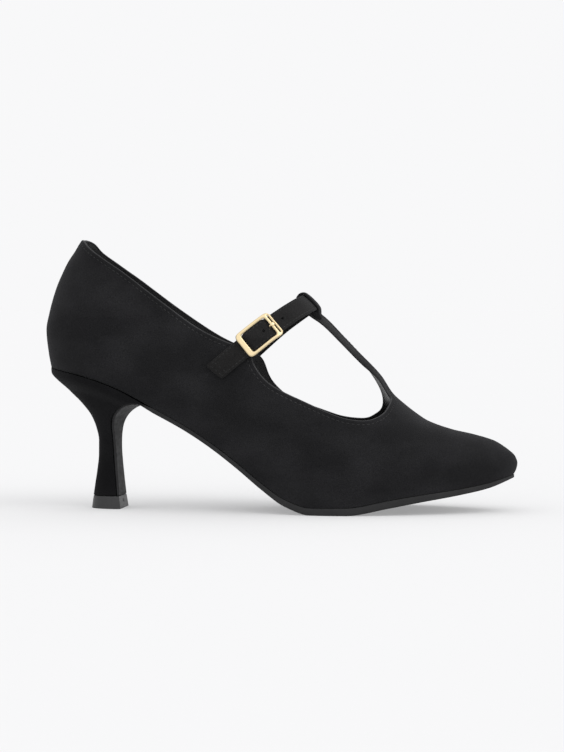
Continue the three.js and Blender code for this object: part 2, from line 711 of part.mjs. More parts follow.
// Rounded rectangle between two places along the strap, with closely spaced points
function roundedBox(low, high, half, corner) {
  const points = [];
  const centres = [
    [high - corner, half - corner, 0],
    [low + corner, half - corner, 1],
    [low + corner, corner - half, 2],
    [high - corner, corner - half, 3],
  ];
  const steps = Math.max(2, Math.ceil(corner / CORNER_PITCH));
  centres.forEach(([a, b, quarter], i) => {
    for (let k = 0; k <= steps; k += 1) {
      const angle = (quarter + k / steps) * (Math.PI / 2);
      points.push(new THREE.Vector2(a + corner * Math.cos(angle), b + corner * Math.sin(angle)));
    }
    const from = points[points.length - 1];
    const [nextA, nextB, nextQuarter] = centres[(i + 1) % 4];
    const nextAngle = nextQuarter * (Math.PI / 2);
    const to = new THREE.Vector2(nextA + corner * Math.cos(nextAngle), nextB + corner * Math.sin(nextAngle));
    const count = Math.floor(from.distanceTo(to) / RAIL_PITCH);
    for (let k = 1; k < count; k += 1) points.push(from.clone().lerp(to, k / count));
  });
  return points;
}

const buckleBase = 2 * GAP + STRAP_THICKNESS;
const innerBarEnd = -BUCKLE_LENGTH / 2 + 2 * BUCKLE_THIN_BAR + BUCKLE_SLOT;

function makeBuckleFrame() {
  const half = STRAP_WIDTH / 2 + BUCKLE_PLAY + BUCKLE_RAIL;
  const end = BUCKLE_LENGTH / 2;
  const inset = BUCKLE_BEVEL;
  const outline = roundedBox(-end + inset, end - inset, half - inset, BUCKLE_CORNER - inset);
  const shape = new THREE.Shape(outline);
  const innerHalf = STRAP_WIDTH / 2 + BUCKLE_PLAY + inset;
  const window = roundedBox(innerBarEnd - inset, end - BUCKLE_END_BAR + inset, innerHalf, BUCKLE_CORNER / 2);
  const slotLow = -end + BUCKLE_THIN_BAR;
  const slotHigh = slotLow + BUCKLE_SLOT;
  const slotCorner = (BUCKLE_SLOT / 2 + inset) * SLOT_ROUNDING;
  const slot = roundedBox(slotLow - inset, slotHigh + inset, innerHalf, slotCorner);
  shape.holes.push(new THREE.Path(window), new THREE.Path(slot));
  const geometry = new THREE.ExtrudeGeometry(shape, {
    depth: BUCKLE_THICKNESS - 2 * BUCKLE_BEVEL,
    bevelEnabled: true,
    bevelSize: BUCKLE_BEVEL,
    bevelThickness: BUCKLE_BEVEL,
    bevelSegments: 1,
  });
  return toManifold(bentOverStrap(geometry, BUCKLE_PLACE, buckleBase + BUCKLE_BEVEL));
}

// Bends flat geometry (along, across, height) over the strap at a distance from the ridge
function bentOverStrap(geometry, distance, height) {
  const p = geometry.attributes.position;
  for (let i = 0; i < p.count; i += 1) {
    const bent = strapPoint(distance + p.getX(i), p.getY(i), height + p.getZ(i));
    p.setXYZ(i, bent.x, bent.y, bent.z);
  }
  return geometry;
}

const pinPlace = BUCKLE_PLACE + innerBarEnd + GAP + PRONG_PIN / 2;

function makeBuckleProng() {
  const top = buckleBase + BUCKLE_THICKNESS + GAP / 2;
  const back = pinPlace - BUCKLE_PLACE - GAP - PRONG_PIN / 2 - BUCKLE_THIN_BAR;
  const front = pinPlace - BUCKLE_PLACE + PRONG_PIN / 2;
  const plate = new THREE.BoxGeometry(front - back, PRONG_WIDTH, PRONG_PLATE);
  plate.translate((front + back) / 2, 0, top + PRONG_PLATE / 2);
  const depth = top + PRONG_PLATE / 2 - GAP * 2;
  const pin = new THREE.CylinderGeometry(PRONG_PIN / 2, PRONG_PIN / 2, depth, 10);
  pin.rotateX(Math.PI / 2);
  pin.translate(front - PRONG_PIN / 2, 0, GAP * 2 + depth / 2);
  const solids = [plate, pin].map((geometry) => toManifold(bentOverStrap(geometry, BUCKLE_PLACE, 0)));
  return solids[0].add(solids[1]);
}

// Outsole with its flap, and insole

// Cross row of a plate between two edge points, from an upper to a lower face
function plateLoop(outer, inner, thickness, down, chamfer) {
  const across = inner.clone().sub(outer).normalize();
  const middle = outer.clone().lerp(inner, 0.5);
  const below = (p, depth, inwards) => {
    return p.clone().addScaledVector(down, depth).addScaledVector(across, inwards);
  };
  const halfDepth = thickness / 2;
  return [
    outer,
    middle,
    inner,
    below(inner, halfDepth, 0),
    below(inner, thickness, -chamfer),
    below(middle, thickness, 0),
    below(outer, thickness, chamfer),
    below(outer, halfDepth, 0),
  ];
}

function makeOutsole() {
  const down = new THREE.Vector3(0, 0, -1);
  const start = SOLE_START / LENGTH;
  const loops = [];
  for (let i = 0; i <= SOLE_STEPS; i += 1) {
    const along = start + (1 - start) * Math.sin((i / SOLE_STEPS) * (Math.PI / 2));
    const place = (side) => {
      const p = lastPoint(along, 0, side);
      p.z = soleTop(along);
      return p;
    };
    const thickness = soleTop(along) - soleUnderside(along);
    const width = halfWidth(along, -1, false) + halfWidth(along, 1, false);
    loops.push(plateLoop(place(-1), place(1), thickness, down, Math.min(SOLE_CHAMFER, width / 5)));
  }
  return solidFromLoops([...flapLoops(), ...loops], true);
}

// Rows of the flap from the foot of the heel up to the waist
function flapLoops() {
  const outline = new THREE.CatmullRomCurve3(FLAP_LINE.map((row) => new THREE.Vector3(
    row.reach * HEEL_REACH,
    row.half * (SEAT_WIDTH / 2),
    row.lift * HEEL_HEIGHT,
  )), false, 'centripetal');
  const loops = [];
  for (let i = FLAP_STEPS; i >= 0; i -= 1) {
    const p = outline.getPoint(i / FLAP_STEPS);
    const tangent = outline.getTangent(i / FLAP_STEPS).setY(0).normalize();
    const outward = new THREE.Vector3(-tangent.z, 0, tangent.x);
    if (outward.x < 0 && outward.z > 0) outward.negate();
    const inside = new THREE.Vector3(p.x, 0, p.z).addScaledVector(outward, -FLAP_THICKNESS);
    const outer = inside.clone().setY(-p.y);
    const inner = inside.clone().setY(p.y);
    loops.push(plateLoop(outer, inner, FLAP_THICKNESS, outward, FLAP_CHAMFER));
  }
  return loops;
}

function makeInsole() {
  const inset = WALL + 2 * GAP;
  const down = new THREE.Vector3(0, 0, -1);
  const loops = stations(STATIONS).slice(1, -1).map((along) => {
    const place = (side) => {
      const edge = lastPoint(along, 0, side);
      const normal = skinNormal(along, 0, side).setZ(0).normalize();
      const p = edge.clone().addScaledVector(normal, -inset);
      const limit = swing(along);
      p.y = side < 0 ? Math.min(p.y, limit - GAP) : Math.max(p.y, limit + GAP);
      p.z = featherHeight(along + (p.x - edge.x) / LENGTH) + INSOLE_THICKNESS;
      return p;
    };
    return plateLoop(place(-1), place(1), INSOLE_THICKNESS, down, 0);
  });
  return solidFromLoops(loops, true);
}

// Heel and top piece

// D-shaped outline: r runs from 0 at the back to 1 at the breast
function heelProfile(r) {
  return (1 - (1 - r) ** HEEL_FOOT_FULLNESS) ** (1 / HEEL_FOOT_FULLNESS);
}

function makeHeel() {
  const foot = TOP_PIECE_HEIGHT + GAP;
  const loops = [];
  const levels = HEEL_LEVELS.flatMap((row, i) => {
    const next = HEEL_LEVELS[i + 1];
    return next ? [row.level, (row.level + next.level) / 2] : [row.level];
  });
  levels.forEach((level) => {
    const value = (column) => valueAt(HEEL_LEVELS, column, level, 'level');
    const back = value('back') * HEEL_REACH;
    const front = value('front') * HEEL_REACH;
    const half = (value('half') * SEAT_WIDTH) / 2;
    const seatShare = THREE.MathUtils.smoothstep(level, SEAT_BLEND, 1);
    const row = (side) => stations(HEEL_STEPS).map((r, i) => {
      const x = back + (front - back) * r;
      const along = Math.max(0, x / LENGTH - 0.01 * (1 - r));
      const seatHalf = halfWidth(along, side, false) + HEEL_RIM;
      const y = side * THREE.MathUtils.lerp(half * heelProfile(r), seatHalf, seatShare);
      return new THREE.Vector3(x, i === 0 ? 0 : y, foot + level * (soleTop(x / LENGTH) - foot));
    });
    const outer = row(-1);
    const inner = row(1).reverse();
    loops.push([...outer, ...inner.slice(0, -1)]);
  });
  return solidFromLoops(loops, true);
}

function makeTopPiece() {
  const half = (HEEL_LEVELS[0].half * SEAT_WIDTH) / 2;
  const back = HEEL_LEVELS[0].back * HEEL_REACH;
  const front = HEEL_LEVELS[0].front * HEEL_REACH + GAP + FLAP_THICKNESS;
  const ring = (spread, z) => {
    const row = (side) => stations(HEEL_STEPS).map((r) => {
      const x = THREE.MathUtils.lerp(back - spread, front + spread, r);
      return new THREE.Vector3(x, side * (half + spread) * heelProfile(r), z);
    });
    return [...row(-1), ...row(1).reverse().slice(0, -1)];
  };
  return solidFromLoops([ring(TOP_PIECE_FLARE, 0), ring(0, TOP_PIECE_HEIGHT)], true);
}

// Materials

const suede = { color: 0x1c1c1e, roughness: 0.95, metalness: 0 };
const strapSuede = { color: 0x2a2a2b, roughness: 0.9, metalness: 0 };
const soleLeather = { color: 0x3a3a3c, roughness: 0.45, metalness: 0 };
const liningLeather = { color: 0x161616, roughness: 0.6, metalness: 0 };
const heelRubber = { color: 0x303032, roughness: 0.55, metalness: 0 };
const paleGold = { color: 0xe8d29a, roughness: 0.2, metalness: 1 };

function toMesh(name, solid, material) {
  const { vertProperties, triVerts } = solid.simplify(SLIVER).getMesh();
  const geometry = new THREE.BufferGeometry();
  geometry.setAttribute('position', new THREE.BufferAttribute(new Float32Array(vertProperties), 3));
  geometry.setIndex(new THREE.BufferAttribute(new Uint32Array(triVerts), 1));
  geometry.computeVertexNormals();
  const mesh = new THREE.Mesh(geometry, new THREE.MeshStandardMaterial(material));
  mesh.name = name;
  return mesh;
}

const group = new THREE.Group();
group.add(toMesh('upper', makeUpper(), suede));
group.add(toMesh('insole', makeInsole(), liningLeather));
group.add(toMesh('outsole', makeOutsole(), soleLeather));
group.add(toMesh('heel', makeHeel(), suede));
group.add(toMesh('top_piece', makeTopPiece(), heelRubber));
group.add(toMesh('strap', makeStrap(), strapSuede));
group.add(toMesh('buckle_frame', makeBuckleFrame(), paleGold));
group.add(toMesh('buckle_prong', makeBuckleProng(), paleGold));

// The origin lies on the floor, below the middle of the whole shoe
const bounds = new THREE.Box3().setFromObject(group);
const middle = bounds.getCenter(new THREE.Vector3());
group.position.set(-middle.x, -middle.y, -bounds.min.z);

export default group;
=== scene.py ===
import math

import bpy
import numpy as np
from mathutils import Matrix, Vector
from mathutils.geometry import delaunay_2d_cdt
from mathutils.kdtree import KDTree


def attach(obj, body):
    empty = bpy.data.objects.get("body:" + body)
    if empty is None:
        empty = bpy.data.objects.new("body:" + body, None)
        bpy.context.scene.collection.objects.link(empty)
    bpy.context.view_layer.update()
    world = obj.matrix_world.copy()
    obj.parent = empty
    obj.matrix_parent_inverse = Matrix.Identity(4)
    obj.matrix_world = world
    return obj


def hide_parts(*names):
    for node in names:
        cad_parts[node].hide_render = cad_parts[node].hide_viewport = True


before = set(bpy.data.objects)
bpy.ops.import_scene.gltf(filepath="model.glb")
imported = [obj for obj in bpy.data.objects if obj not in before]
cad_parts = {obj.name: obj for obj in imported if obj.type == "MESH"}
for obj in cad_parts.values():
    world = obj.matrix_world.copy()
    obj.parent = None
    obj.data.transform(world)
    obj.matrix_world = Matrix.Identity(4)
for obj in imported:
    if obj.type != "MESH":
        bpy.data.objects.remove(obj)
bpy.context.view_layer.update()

# A right-foot T-strap pump in black suede. All working sizes are in millimetres,
# +X towards the toe, +Y towards the inner side, and become metres when a mesh is made.

# Sizes of the shoe
LENGTH = 237.5
BALL_WIDTH = 77.0
SEAT_WIDTH = 50.0
HEEL_HEIGHT = 68.6
INSTEP_RISE = 108.0
BACK_RISE = 69.6
WALL = 1.6
SOLE_EDGE = 4.0
INSOLE_THICKNESS = 2.0
GAP = 0.3

# Sizes of the T-bar, its loop and the strap
BAR_WIDTH = 7.0
BAR_THICKNESS = 2.6
BAR_FILLET = 9.0
FILLET_SPREAD = 5.4
LOOP_WIDTH = 8.4
STRAP_WIDTH = 10.3
STRAP_THICKNESS = 1.6
STRAP_PITCH = math.radians(38.4)
STRAP_CROSSING = 0.5585
STRAP_BOW_OUTSIDE = 0.9
STRAP_BOW_INSIDE = 3.8
STRAP_BOW_REACH = 60.0
BOW_PEAK = 6.75
STRAP_OUTSIDE = 72.0
STRAP_SLANT = 2.2
STRAP_INSIDE = 72.0
STRAP_TURN = 0.62
HOLE_DIAMETER = 1.5
HOLE_PITCH = 11.4
HOLE_COUNT = 2
FIRST_HOLE = 29.2

# Sizes of the buckle
BUCKLE_LENGTH = 19.9
BUCKLE_PLACE = 43.6
BUCKLE_PLAY = 0.4
BUCKLE_RAIL = 1.5
BUCKLE_END_BAR = 2.6
BUCKLE_THIN_BAR = 1.0
BUCKLE_SLOT = 0.7
BUCKLE_THICKNESS = 1.5
BUCKLE_CORNER = 2.6
BUCKLE_BASE = 2 * GAP + STRAP_THICKNESS
PRONG_WIDTH = 2.0
PRONG_PIN = 0.9

# Sizes of the heel
HEEL_REACH = 54.0
HEEL_RIM = 0.5
TOP_PIECE_HEIGHT = 6.4
TOP_PIECE_FLARE = 0.9
FLAP_THICKNESS = 1.2
SOLE_START = 57.2
SEAT_BLEND = 0.84
HEEL_FOOT_FULLNESS = 2.3

# Fading of the end curves and the round ends of the plan
BACK_FADE = 4
TOE_FADE = 14
SEAM_LIMIT = 1.2
HEEL_END = 0.112
HEEL_FULLNESS = 2.1
TOE_END = 0.77
TOE_FULLNESS = 1.9


def table(columns, rows):
    return dict(zip(columns, np.array(rows, float).T))


# Underside of the sole and the sole's thickness
SOLE_LINE = table(("along", "lift", "edge"), [
    (0.0, 1.005, 0.6), (0.09, 0.942, 0.6), (0.16, 0.858, 0.6), (0.244, 0.707, 0.62),
    (0.306, 0.59, 0.64), (0.371, 0.445, 0.68), (0.423, 0.316, 0.74), (0.477, 0.172, 0.82),
    (0.529, 0.056, 0.9), (0.582, 0.0, 0.92), (0.655, 0.0, 0.96), (0.743, 0.051, 0.98),
    (0.802, 0.089, 0.9), (0.89, 0.14, 0.74), (0.945, 0.179, 0.66), (1.0, 0.247, 0.38),
])

# Plan of the last at the sole line and at its fullest height
LAST_PLAN = table(("along", "outer", "inner", "full_outer", "full_inner", "swing"), [
    (0.0, 0.62, 0.62, 0.72, 0.72, 0.0), (0.12, 0.65, 0.65, 0.76, 0.76, 0.0),
    (0.22, 0.6, 0.56, 0.78, 0.77, 0.0), (0.34, 0.56, 0.47, 0.83, 0.81, 0.0),
    (0.44, 0.71, 0.56, 0.91, 0.88, 0.0), (0.54, 0.92, 0.8, 1.01, 0.97, 0.0),
    (0.63, 1.0, 0.96, 1.06, 1.05, 0.0), (0.7, 0.97, 1.0, 1.03, 1.07, 0.01),
    (0.78, 0.88, 0.92, 0.93, 0.98, 0.04), (0.88, 0.76, 0.76, 0.81, 0.81, 0.08),
    (1.0, 0.6, 0.6, 0.68, 0.68, 0.11),
])

# Height of the ridge and of the fullest place
LAST_RISE = table(("along", "ridge", "full"), [
    (0.0, 0.77, 0.24), (0.09, 0.8, 0.24), (0.17, 0.84, 0.25), (0.26, 0.9, 0.26),
    (0.34, 0.955, 0.27), (0.42, 0.99, 0.28), (0.48, 0.985, 0.28), (0.535, 0.935, 0.27),
    (0.586, 0.869, 0.26), (0.637, 0.759, 0.25), (0.688, 0.639, 0.25), (0.713, 0.568, 0.26),
    (0.737, 0.476, 0.28), (0.763, 0.414, 0.3), (0.788, 0.363, 0.31), (0.813, 0.32, 0.32),
    (0.864, 0.267, 0.34), (0.914, 0.227, 0.36), (0.96, 0.18, 0.4), (1.0, 0.116, 0.5),
])

# Profiles of the back seam and of the toe
BACK_CURVE = table(("height", "lean"), [
    (0.0, 0.034), (0.09, 0.017), (0.27, 0.0), (0.39, 0.022), (0.57, 0.074), (0.68, 0.121),
    (0.766, 0.164), (0.83, 0.207), (0.9, 0.249), (0.95, 0.292), (1.1, 0.4),
])
TOE_CURVE = table(("height", "tuck"), [(0.0, 0.4), (0.2, 0.12), (0.42, 0.0), (0.7, 0.3), (1.0, 1.3)])

# Top edge of the quarters and of the cut-outs, above the sole line
COLLAR_LINE = table(("along", "outer", "inner"), [
    (0.086, 0.975, 0.975), (0.1, 0.944, 0.915), (0.13, 0.907, 0.865), (0.181, 0.866, 0.812),
    (0.27, 0.803, 0.746), (0.351, 0.776, 0.725), (0.418, 0.832, 0.768), (0.443, 0.875, 0.782),
])
CUT_OUT_LINE = table(("along", "outer", "inner"), [
    (0.457, 0.868, 0.7), (0.464, 0.81, 0.67), (0.491, 0.757, 0.638), (0.527, 0.755, 0.648),
    (0.571, 0.741, 0.648), (0.612, 0.681, 0.602), (0.653, 0.628, 0.583),
])
CUT_OUT_END = {
    -1: table(("along", "height"), [(0.69, 0.597), (0.714, 0.592), (0.733, 0.62), (0.7405, 0.68)]),
    1: table(("along", "height"), [(0.673, 0.584), (0.689, 0.606), (0.702, 0.63), (0.71, 0.69)]),
}

# Inner side of the T-bar's foot seen from above
THROAT_INSIDE = table(("along", "spread"), [
    (0.612, 0.0), (0.636, 0.02), (0.655, 0.11), (0.674, 0.25), (0.692, 0.4), (0.704, 0.52), (0.71, 0.625),
])

# Heel block, by level between its foot and the seat
HEEL_LEVELS = table(("level", "back", "front", "half"), [
    (0.0, 0.438, 0.683, 0.4), (0.11, 0.456, 0.673, 0.38), (0.21, 0.473, 0.664, 0.362),
    (0.35, 0.489, 0.65, 0.344), (0.47, 0.49, 0.648, 0.344), (0.57, 0.468, 0.65, 0.372),
    (0.67, 0.42, 0.663, 0.46), (0.76, 0.331, 0.7, 0.59), (0.845, 0.214, 0.763, 0.73),
    (0.925, 0.113, 0.852, 0.87), (0.976, 0.045, 0.944, 0.96), (1.0, 0.03, 1.0, 1.0),
])

# Outer face of the sole leather round the cove and down the breast of the heel
FLAP_LINE = table(("reach", "lift", "half"), [
    (0.944, 0.757, 0.84), (0.861, 0.754, 0.77), (0.783, 0.729, 0.66), (0.726, 0.685, 0.54),
    (0.693, 0.627, 0.42), (0.68, 0.554, 0.345), (0.678, 0.437, 0.32), (0.694, 0.262, 0.338),
    (0.713, 0.104, 0.376),
])


# Smooth value of one column of a table, with no overshoot between its rows
def value_at(tab, column, at, key="along"):
    xs, ys = tab[key], tab[column]
    at = np.clip(at, xs[0], xs[-1])
    slope = np.diff(ys) / np.diff(xs)
    before, after = slope[:-1], slope[1:]
    total = np.where(before + after == 0, 1.0, before + after)
    inner = np.where(before * after <= 0, 0.0, 2 * before * after / total)
    tangent = np.concatenate([slope[:1], inner, slope[-1:]])
    i = np.clip(np.searchsorted(xs, at, side="right") - 1, 0, len(xs) - 2)
    span = xs[i + 1] - xs[i]
    t = (at - xs[i]) / span
    rise = ys[i + 1] - ys[i]
    start = tangent[i] * span
    end = tangent[i + 1] * span
    return ys[i] + t * (start + t * (3 * rise - 2 * start - end - t * (2 * rise - start - end)))


def smoothstep(x, low, high):
    t = np.clip((x - low) / (high - low), 0, 1)
    return t * t * (3 - 2 * t)


# A soft ridge, or a trough where rise is below zero
def crease(x, rise, place, breadth):
    return rise * np.exp(-((x - place) / breadth) ** 2)


# The last

def round_ends(along):
    into_heel = np.maximum(0, 1 - along / HEEL_END)
    into_toe = np.maximum(0, (along - TOE_END) / (1 - TOE_END))
    heel = np.maximum(0, 1 - into_heel ** HEEL_FULLNESS) ** (1 / HEEL_FULLNESS)
    toe = np.maximum(0, 1 - into_toe ** TOE_FULLNESS) ** (1 / TOE_FULLNESS)
    return heel * toe


def sole_underside(along):
    return value_at(SOLE_LINE, "lift", along) * HEEL_HEIGHT


def sole_top(along):
    return sole_underside(along) + value_at(SOLE_LINE, "edge", along) * SOLE_EDGE


def feather_height(along):
    return sole_top(along) + GAP


def ridge_rise(along):
    return value_at(LAST_RISE, "ridge", along) * INSTEP_RISE


def swing(along):
    return value_at(LAST_PLAN, "swing", along) * BALL_WIDTH / 2


# side is -1 on the outer side and +1 on the inner side
def half_width(along, side, full):
    column = ("full_" if full else "") + ("outer" if side < 0 else "inner")
    return value_at(LAST_PLAN, column, along) * BALL_WIDTH * round_ends(along) / 2


def lengthwise(along, v, rise):
    seam_height = np.clip(v * rise / BACK_RISE, 0, SEAM_LIMIT)
    over_top = np.maximum(0, seam_height - 1)
    lean = value_at(BACK_CURVE, "lean", seam_height, "height") * BACK_RISE * (1 - over_top)
    tuck = value_at(TOE_CURVE, "tuck", v, "height") * SOLE_EDGE
    return along * LENGTH + lean * (1 - along) ** BACK_FADE - tuck * along ** TOE_FADE


# turn runs from 0 at the sole line through 0.5 at the fullest place to 1 on the ridge
def last_point(along, turn, side):
    along, turn = np.broadcast_arrays(np.asarray(along, float), np.asarray(turn, float))
    rise = ridge_rise(along)
    share = value_at(LAST_RISE, "full", along)
    foot = half_width(along, side, False)
    full = half_width(along, side, True)
    angle = (turn - 0.5) * math.pi
    v = np.where(turn < 0.5, 2 * turn * share, share + (1 - share) * np.sin(angle))
    half = np.where(turn < 0.5, foot + (full - foot) * np.sin(turn * math.pi), full * np.cos(angle))
    return np.stack([
        lengthwise(along, v, rise),
        swing(along) + side * half,
        feather_height(along) + v * rise,
    ], axis=-1)


def unit(vectors):
    return vectors / np.maximum(np.linalg.norm(vectors, axis=-1, keepdims=True), 1e-12)


END_MARGIN = 0.001
NORMAL_STEP = 0.004


def last_normal(along, turn, side):
    along, turn = np.broadcast_arrays(np.asarray(along, float), np.asarray(turn, float))
    a0 = np.clip(along - NORMAL_STEP, END_MARGIN, 1 - END_MARGIN)
    a1 = np.clip(along + NORMAL_STEP, END_MARGIN, 1 - END_MARGIN)
    t0 = np.maximum(0, turn - NORMAL_STEP)
    t1 = np.minimum(1, turn + NORMAL_STEP)
    lengthways = last_point(a1, turn, side) - last_point(a0, turn, side)
    upwards = last_point(along, t1, side) - last_point(along, t0, side)
    over = last_point(along, t0, -side) - last_point(along, t0, side)
    upwards = np.where((turn > 1 - NORMAL_STEP)[..., None], over, upwards)
    normal = unit(np.cross(lengthways, upwards) * -side)
    margin = END_MARGIN / 2
    flat = (along < margin) | (along > 1 - margin) | (turn > 1 - margin)
    normal[..., 1] = np.where(flat, 0, normal[..., 1])
    return unit(normal)


# Lines and surfaces

MM = 0.001


# A smooth line through points, as in the part's source
def smooth_line(points, steps=16):
    p = np.asarray(points, float)
    p = np.vstack([2 * p[0] - p[1], p, 2 * p[-1] - p[-2]])
    s = np.linspace(0, 1, steps, endpoint=False)[:, None]
    spans = []
    for i in range(1, len(p) - 2):
        d0, d1, d2 = (max(np.linalg.norm(p[k + 1] - p[k]) ** 0.5, 1e-4) for k in (i - 1, i, i + 1))
        start = ((p[i] - p[i - 1]) / d0 - (p[i + 1] - p[i - 1]) / (d0 + d1) + (p[i + 1] - p[i]) / d1) * d1
        end = ((p[i + 1] - p[i]) / d1 - (p[i + 2] - p[i]) / (d1 + d2) + (p[i + 2] - p[i + 1]) / d2) * d1
        a, b = p[i], p[i + 1]
        square = 3 * b - 3 * a - 2 * start - end
        cube = 2 * a - 2 * b + start + end
        spans.append(a + start * s + square * s ** 2 + cube * s ** 3)
    spans.append(p[-2][None])
    return np.vstack(spans)


def line_lengths(line):
    return np.concatenate([[0.0], np.cumsum(np.linalg.norm(np.diff(line, axis=0), axis=1))])


def point_along(line, distances):
    run = line_lengths(line)
    return np.stack([np.interp(distances, run, line[:, k]) for k in range(line.shape[1])], axis=-1)


def respaced(line, spacing):
    length = line_lengths(line)[-1]
    count = max(2, int(round(length / spacing)))
    return point_along(line, np.linspace(0, length, count + 1))


# Rounds the corners of an open line, its two ends kept
def softened(line, passes):
    line = line.copy()
    for _ in range(passes):
        line[1:-1] = (line[:-2] + 2 * line[1:-1] + line[2:]) / 4
    return line


def inside(loops, points):
    crossings = np.zeros(len(points), bool)
    for loop in loops:
        loop = np.asarray(loop)
        for a, b in zip(loop, np.roll(loop, -1, axis=0)):
            if a[1] == b[1]:
                continue
            spans = (a[1] > points[:, 1]) != (b[1] > points[:, 1])
            x = a[0] + (points[:, 1] - a[1]) * (b[0] - a[0]) / (b[1] - a[1])
            crossings ^= spans & (points[:, 0] < x)
    return crossings


# Triangles that fill the first loop and leave the others open, with the inner points used
def triangulated(loops, inner):
    points = np.vstack([*loops, inner])
    edges = []
    start = 0
    for loop in loops:
        edges += [(start + i, start + (i + 1) % len(loop)) for i in range(len(loop))]
        start += len(loop)
    result = delaunay_2d_cdt([Vector(p) for p in points], edges, [], 1, 1e-6)
    faces, source = result[2], result[3]
    faces = np.array([[source[v][0] for v in face] for face in faces])
    middles = points[faces].mean(axis=1)
    return points, faces[inside(loops, middles)]


def grid_inside(loops, spacing, margin):
    outer = np.asarray(loops[0])
    low, high = outer.min(axis=0), outer.max(axis=0)
    xs = np.arange(low[0] + spacing / 2, high[0], spacing)
    ys = np.arange(low[1] + spacing / 2, high[1], spacing * 0.87)
    grid = np.array([(x + (k % 2) * spacing / 2, y) for k, y in enumerate(ys) for x in xs])
    grid = grid[inside(loops, grid)]
    return clear_of(grid, np.vstack(loops), margin)


# The points that lie further than margin from every other given point
def clear_of(points, others, margin):
    far = nearest(points, others)
    return points[far > margin]


def nearest(points, others):
    width = others.shape[1]
    tree = KDTree(len(others))
    for i, other in enumerate(others):
        tree.insert(other if width == 3 else (*other, 0.0), i)
    tree.balance()
    return np.array([tree.find(p if width == 3 else (*p, 0.0))[2] for p in points])


# Pieces

def row_metres(points):
    return (np.asarray(points) - PLAN_SHIFT) * MM


def mesh_piece(name, points, faces, materials, kinds=None):
    mesh = bpy.data.meshes.new(name)
    mesh.from_pydata(row_metres(points).tolist(), [], [list(map(int, f)) for f in faces])
    for material in materials:
        mesh.materials.append(material)
    if kinds is not None:
        mesh.polygons.foreach_set("material_index", np.asarray(kinds, np.int32))
    mesh.polygons.foreach_set("use_smooth", np.full(len(mesh.polygons), True))
    mesh.validate()
    mesh.update()
    piece = bpy.data.objects.new(name, mesh)
    bpy.context.scene.collection.objects.link(piece)
    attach(piece, "root")
    return piece


# Quads between neighbouring rows of points; rows are closed rings when ring is true
def lattice_faces(rows, columns, ring=False, start=0):
    i, j = np.meshgrid(np.arange(rows - 1), np.arange(columns if ring else columns - 1), indexing="ij")
    i, j = i.ravel(), j.ravel()
    k = (j + 1) % columns
    here, below = i * columns, (i + 1) * columns
    return start + np.stack([here + j, here + k, below + k, below + j], axis=1)


# Quads between two closed rings of point numbers
def ring_faces(a, b):
    return np.stack([a, np.roll(a, -1), np.roll(b, -1), b], axis=1)


# Upper

# Middle of the whole shoe in plan, where the part's frame has its origin
def plan_middle():
    along = (1 - np.cos(np.linspace(0, math.pi, 400))) / 2
    turn = np.linspace(0, 1, 60)
    both = np.concatenate([last_point(along[:, None], turn[None], s).reshape(-1, 3) for s in (-1, 1)])
    middle = (both.min(axis=0) + both.max(axis=0)) / 2
    return np.array([middle[0], middle[1], 0.0])


PLAN_SHIFT = plan_middle()

# The skin of the last is laid out flat: X follows its length and Y its girth
SHEET = np.array([1.25 * LENGTH, 110.0])


def sheet_to_last(sheet):
    along = (1 - np.cos(np.clip(sheet[:, 0] / SHEET[0], 0, 1) * math.pi)) / 2
    return along, np.clip(sheet[:, 1] / SHEET[1], 0, 1)


def last_to_sheet(along, turn):
    u = np.arccos(np.clip(1 - 2 * along, -1, 1)) / math.pi
    return np.stack([u * SHEET[0], turn * SHEET[1]], axis=-1)


def sheet_point(sheet, side):
    along, turn = sheet_to_last(sheet)
    return last_point(along, turn, side)


SEARCH_ROUNDS = 60
SEARCH_STEP = 0.7


# Place on the last of a point that is given by its length and height
def seen_from_side(x, z):
    along = np.clip(x / LENGTH, 0, 1)
    for _ in range(SEARCH_ROUNDS):
        rise = ridge_rise(along)
        v = np.clip((z - feather_height(along)) / rise, 0, 1)
        along = np.clip(along + SEARCH_STEP * (x - lengthwise(along, v, rise)) / LENGTH, 0, 1)
    share = value_at(LAST_RISE, "full", along)
    over = np.arcsin(np.clip((v - share) / (1 - share), 0, 1)) / math.pi + 0.5
    return along, np.where(v < share, v / (2 * share), over)


# Place on the last of a point that is given by its length and its distance from the ridge
def seen_from_top(x, half, side):
    along = np.clip(x / LENGTH, 0, 1)
    for _ in range(SEARCH_ROUNDS):
        full = half_width(along, side, True)
        angle = np.arccos(np.clip((half - side * swing(along)) / full, 0, 1))
        share = value_at(LAST_RISE, "full", along)
        v = share + (1 - share) * np.sin(angle)
        miss = x - lengthwise(along, v, ridge_rise(along))
        along = np.clip(along + SEARCH_STEP * miss / LENGTH, 0, 1)
    return along, 0.5 + angle / math.pi


EDGE_SPACING = 1.0
RIM = WALL / 2
BAR_PAST_STRAP = 3.0
BAR_END = STRAP_CROSSING * LENGTH - BAR_PAST_STRAP
FILLET_STEPS = 16

# The collar runs level past the back seam between these lengths
LEVEL_BACK = (-6.0, 8.0)


# Side of the T-bar's foot seen from above, from the vamp up to the straight bar
def bar_foot(side, front):
    if side > 0:
        half = (BAR_WIDTH + THROAT_INSIDE["spread"] * BALL_WIDTH) / 2
        rows = np.stack([THROAT_INSIDE["along"] * LENGTH, half], axis=-1)
        return respaced(smooth_line(rows), EDGE_SPACING)[::-1]
    foot = []
    for t in np.linspace(math.pi / 2, 0, FILLET_STEPS):
        half = BAR_WIDTH / 2 + FILLET_SPREAD * (1 - math.cos(t))
        foot.append((front - BAR_FILLET * (1 - math.sin(t)), half))
    return foot


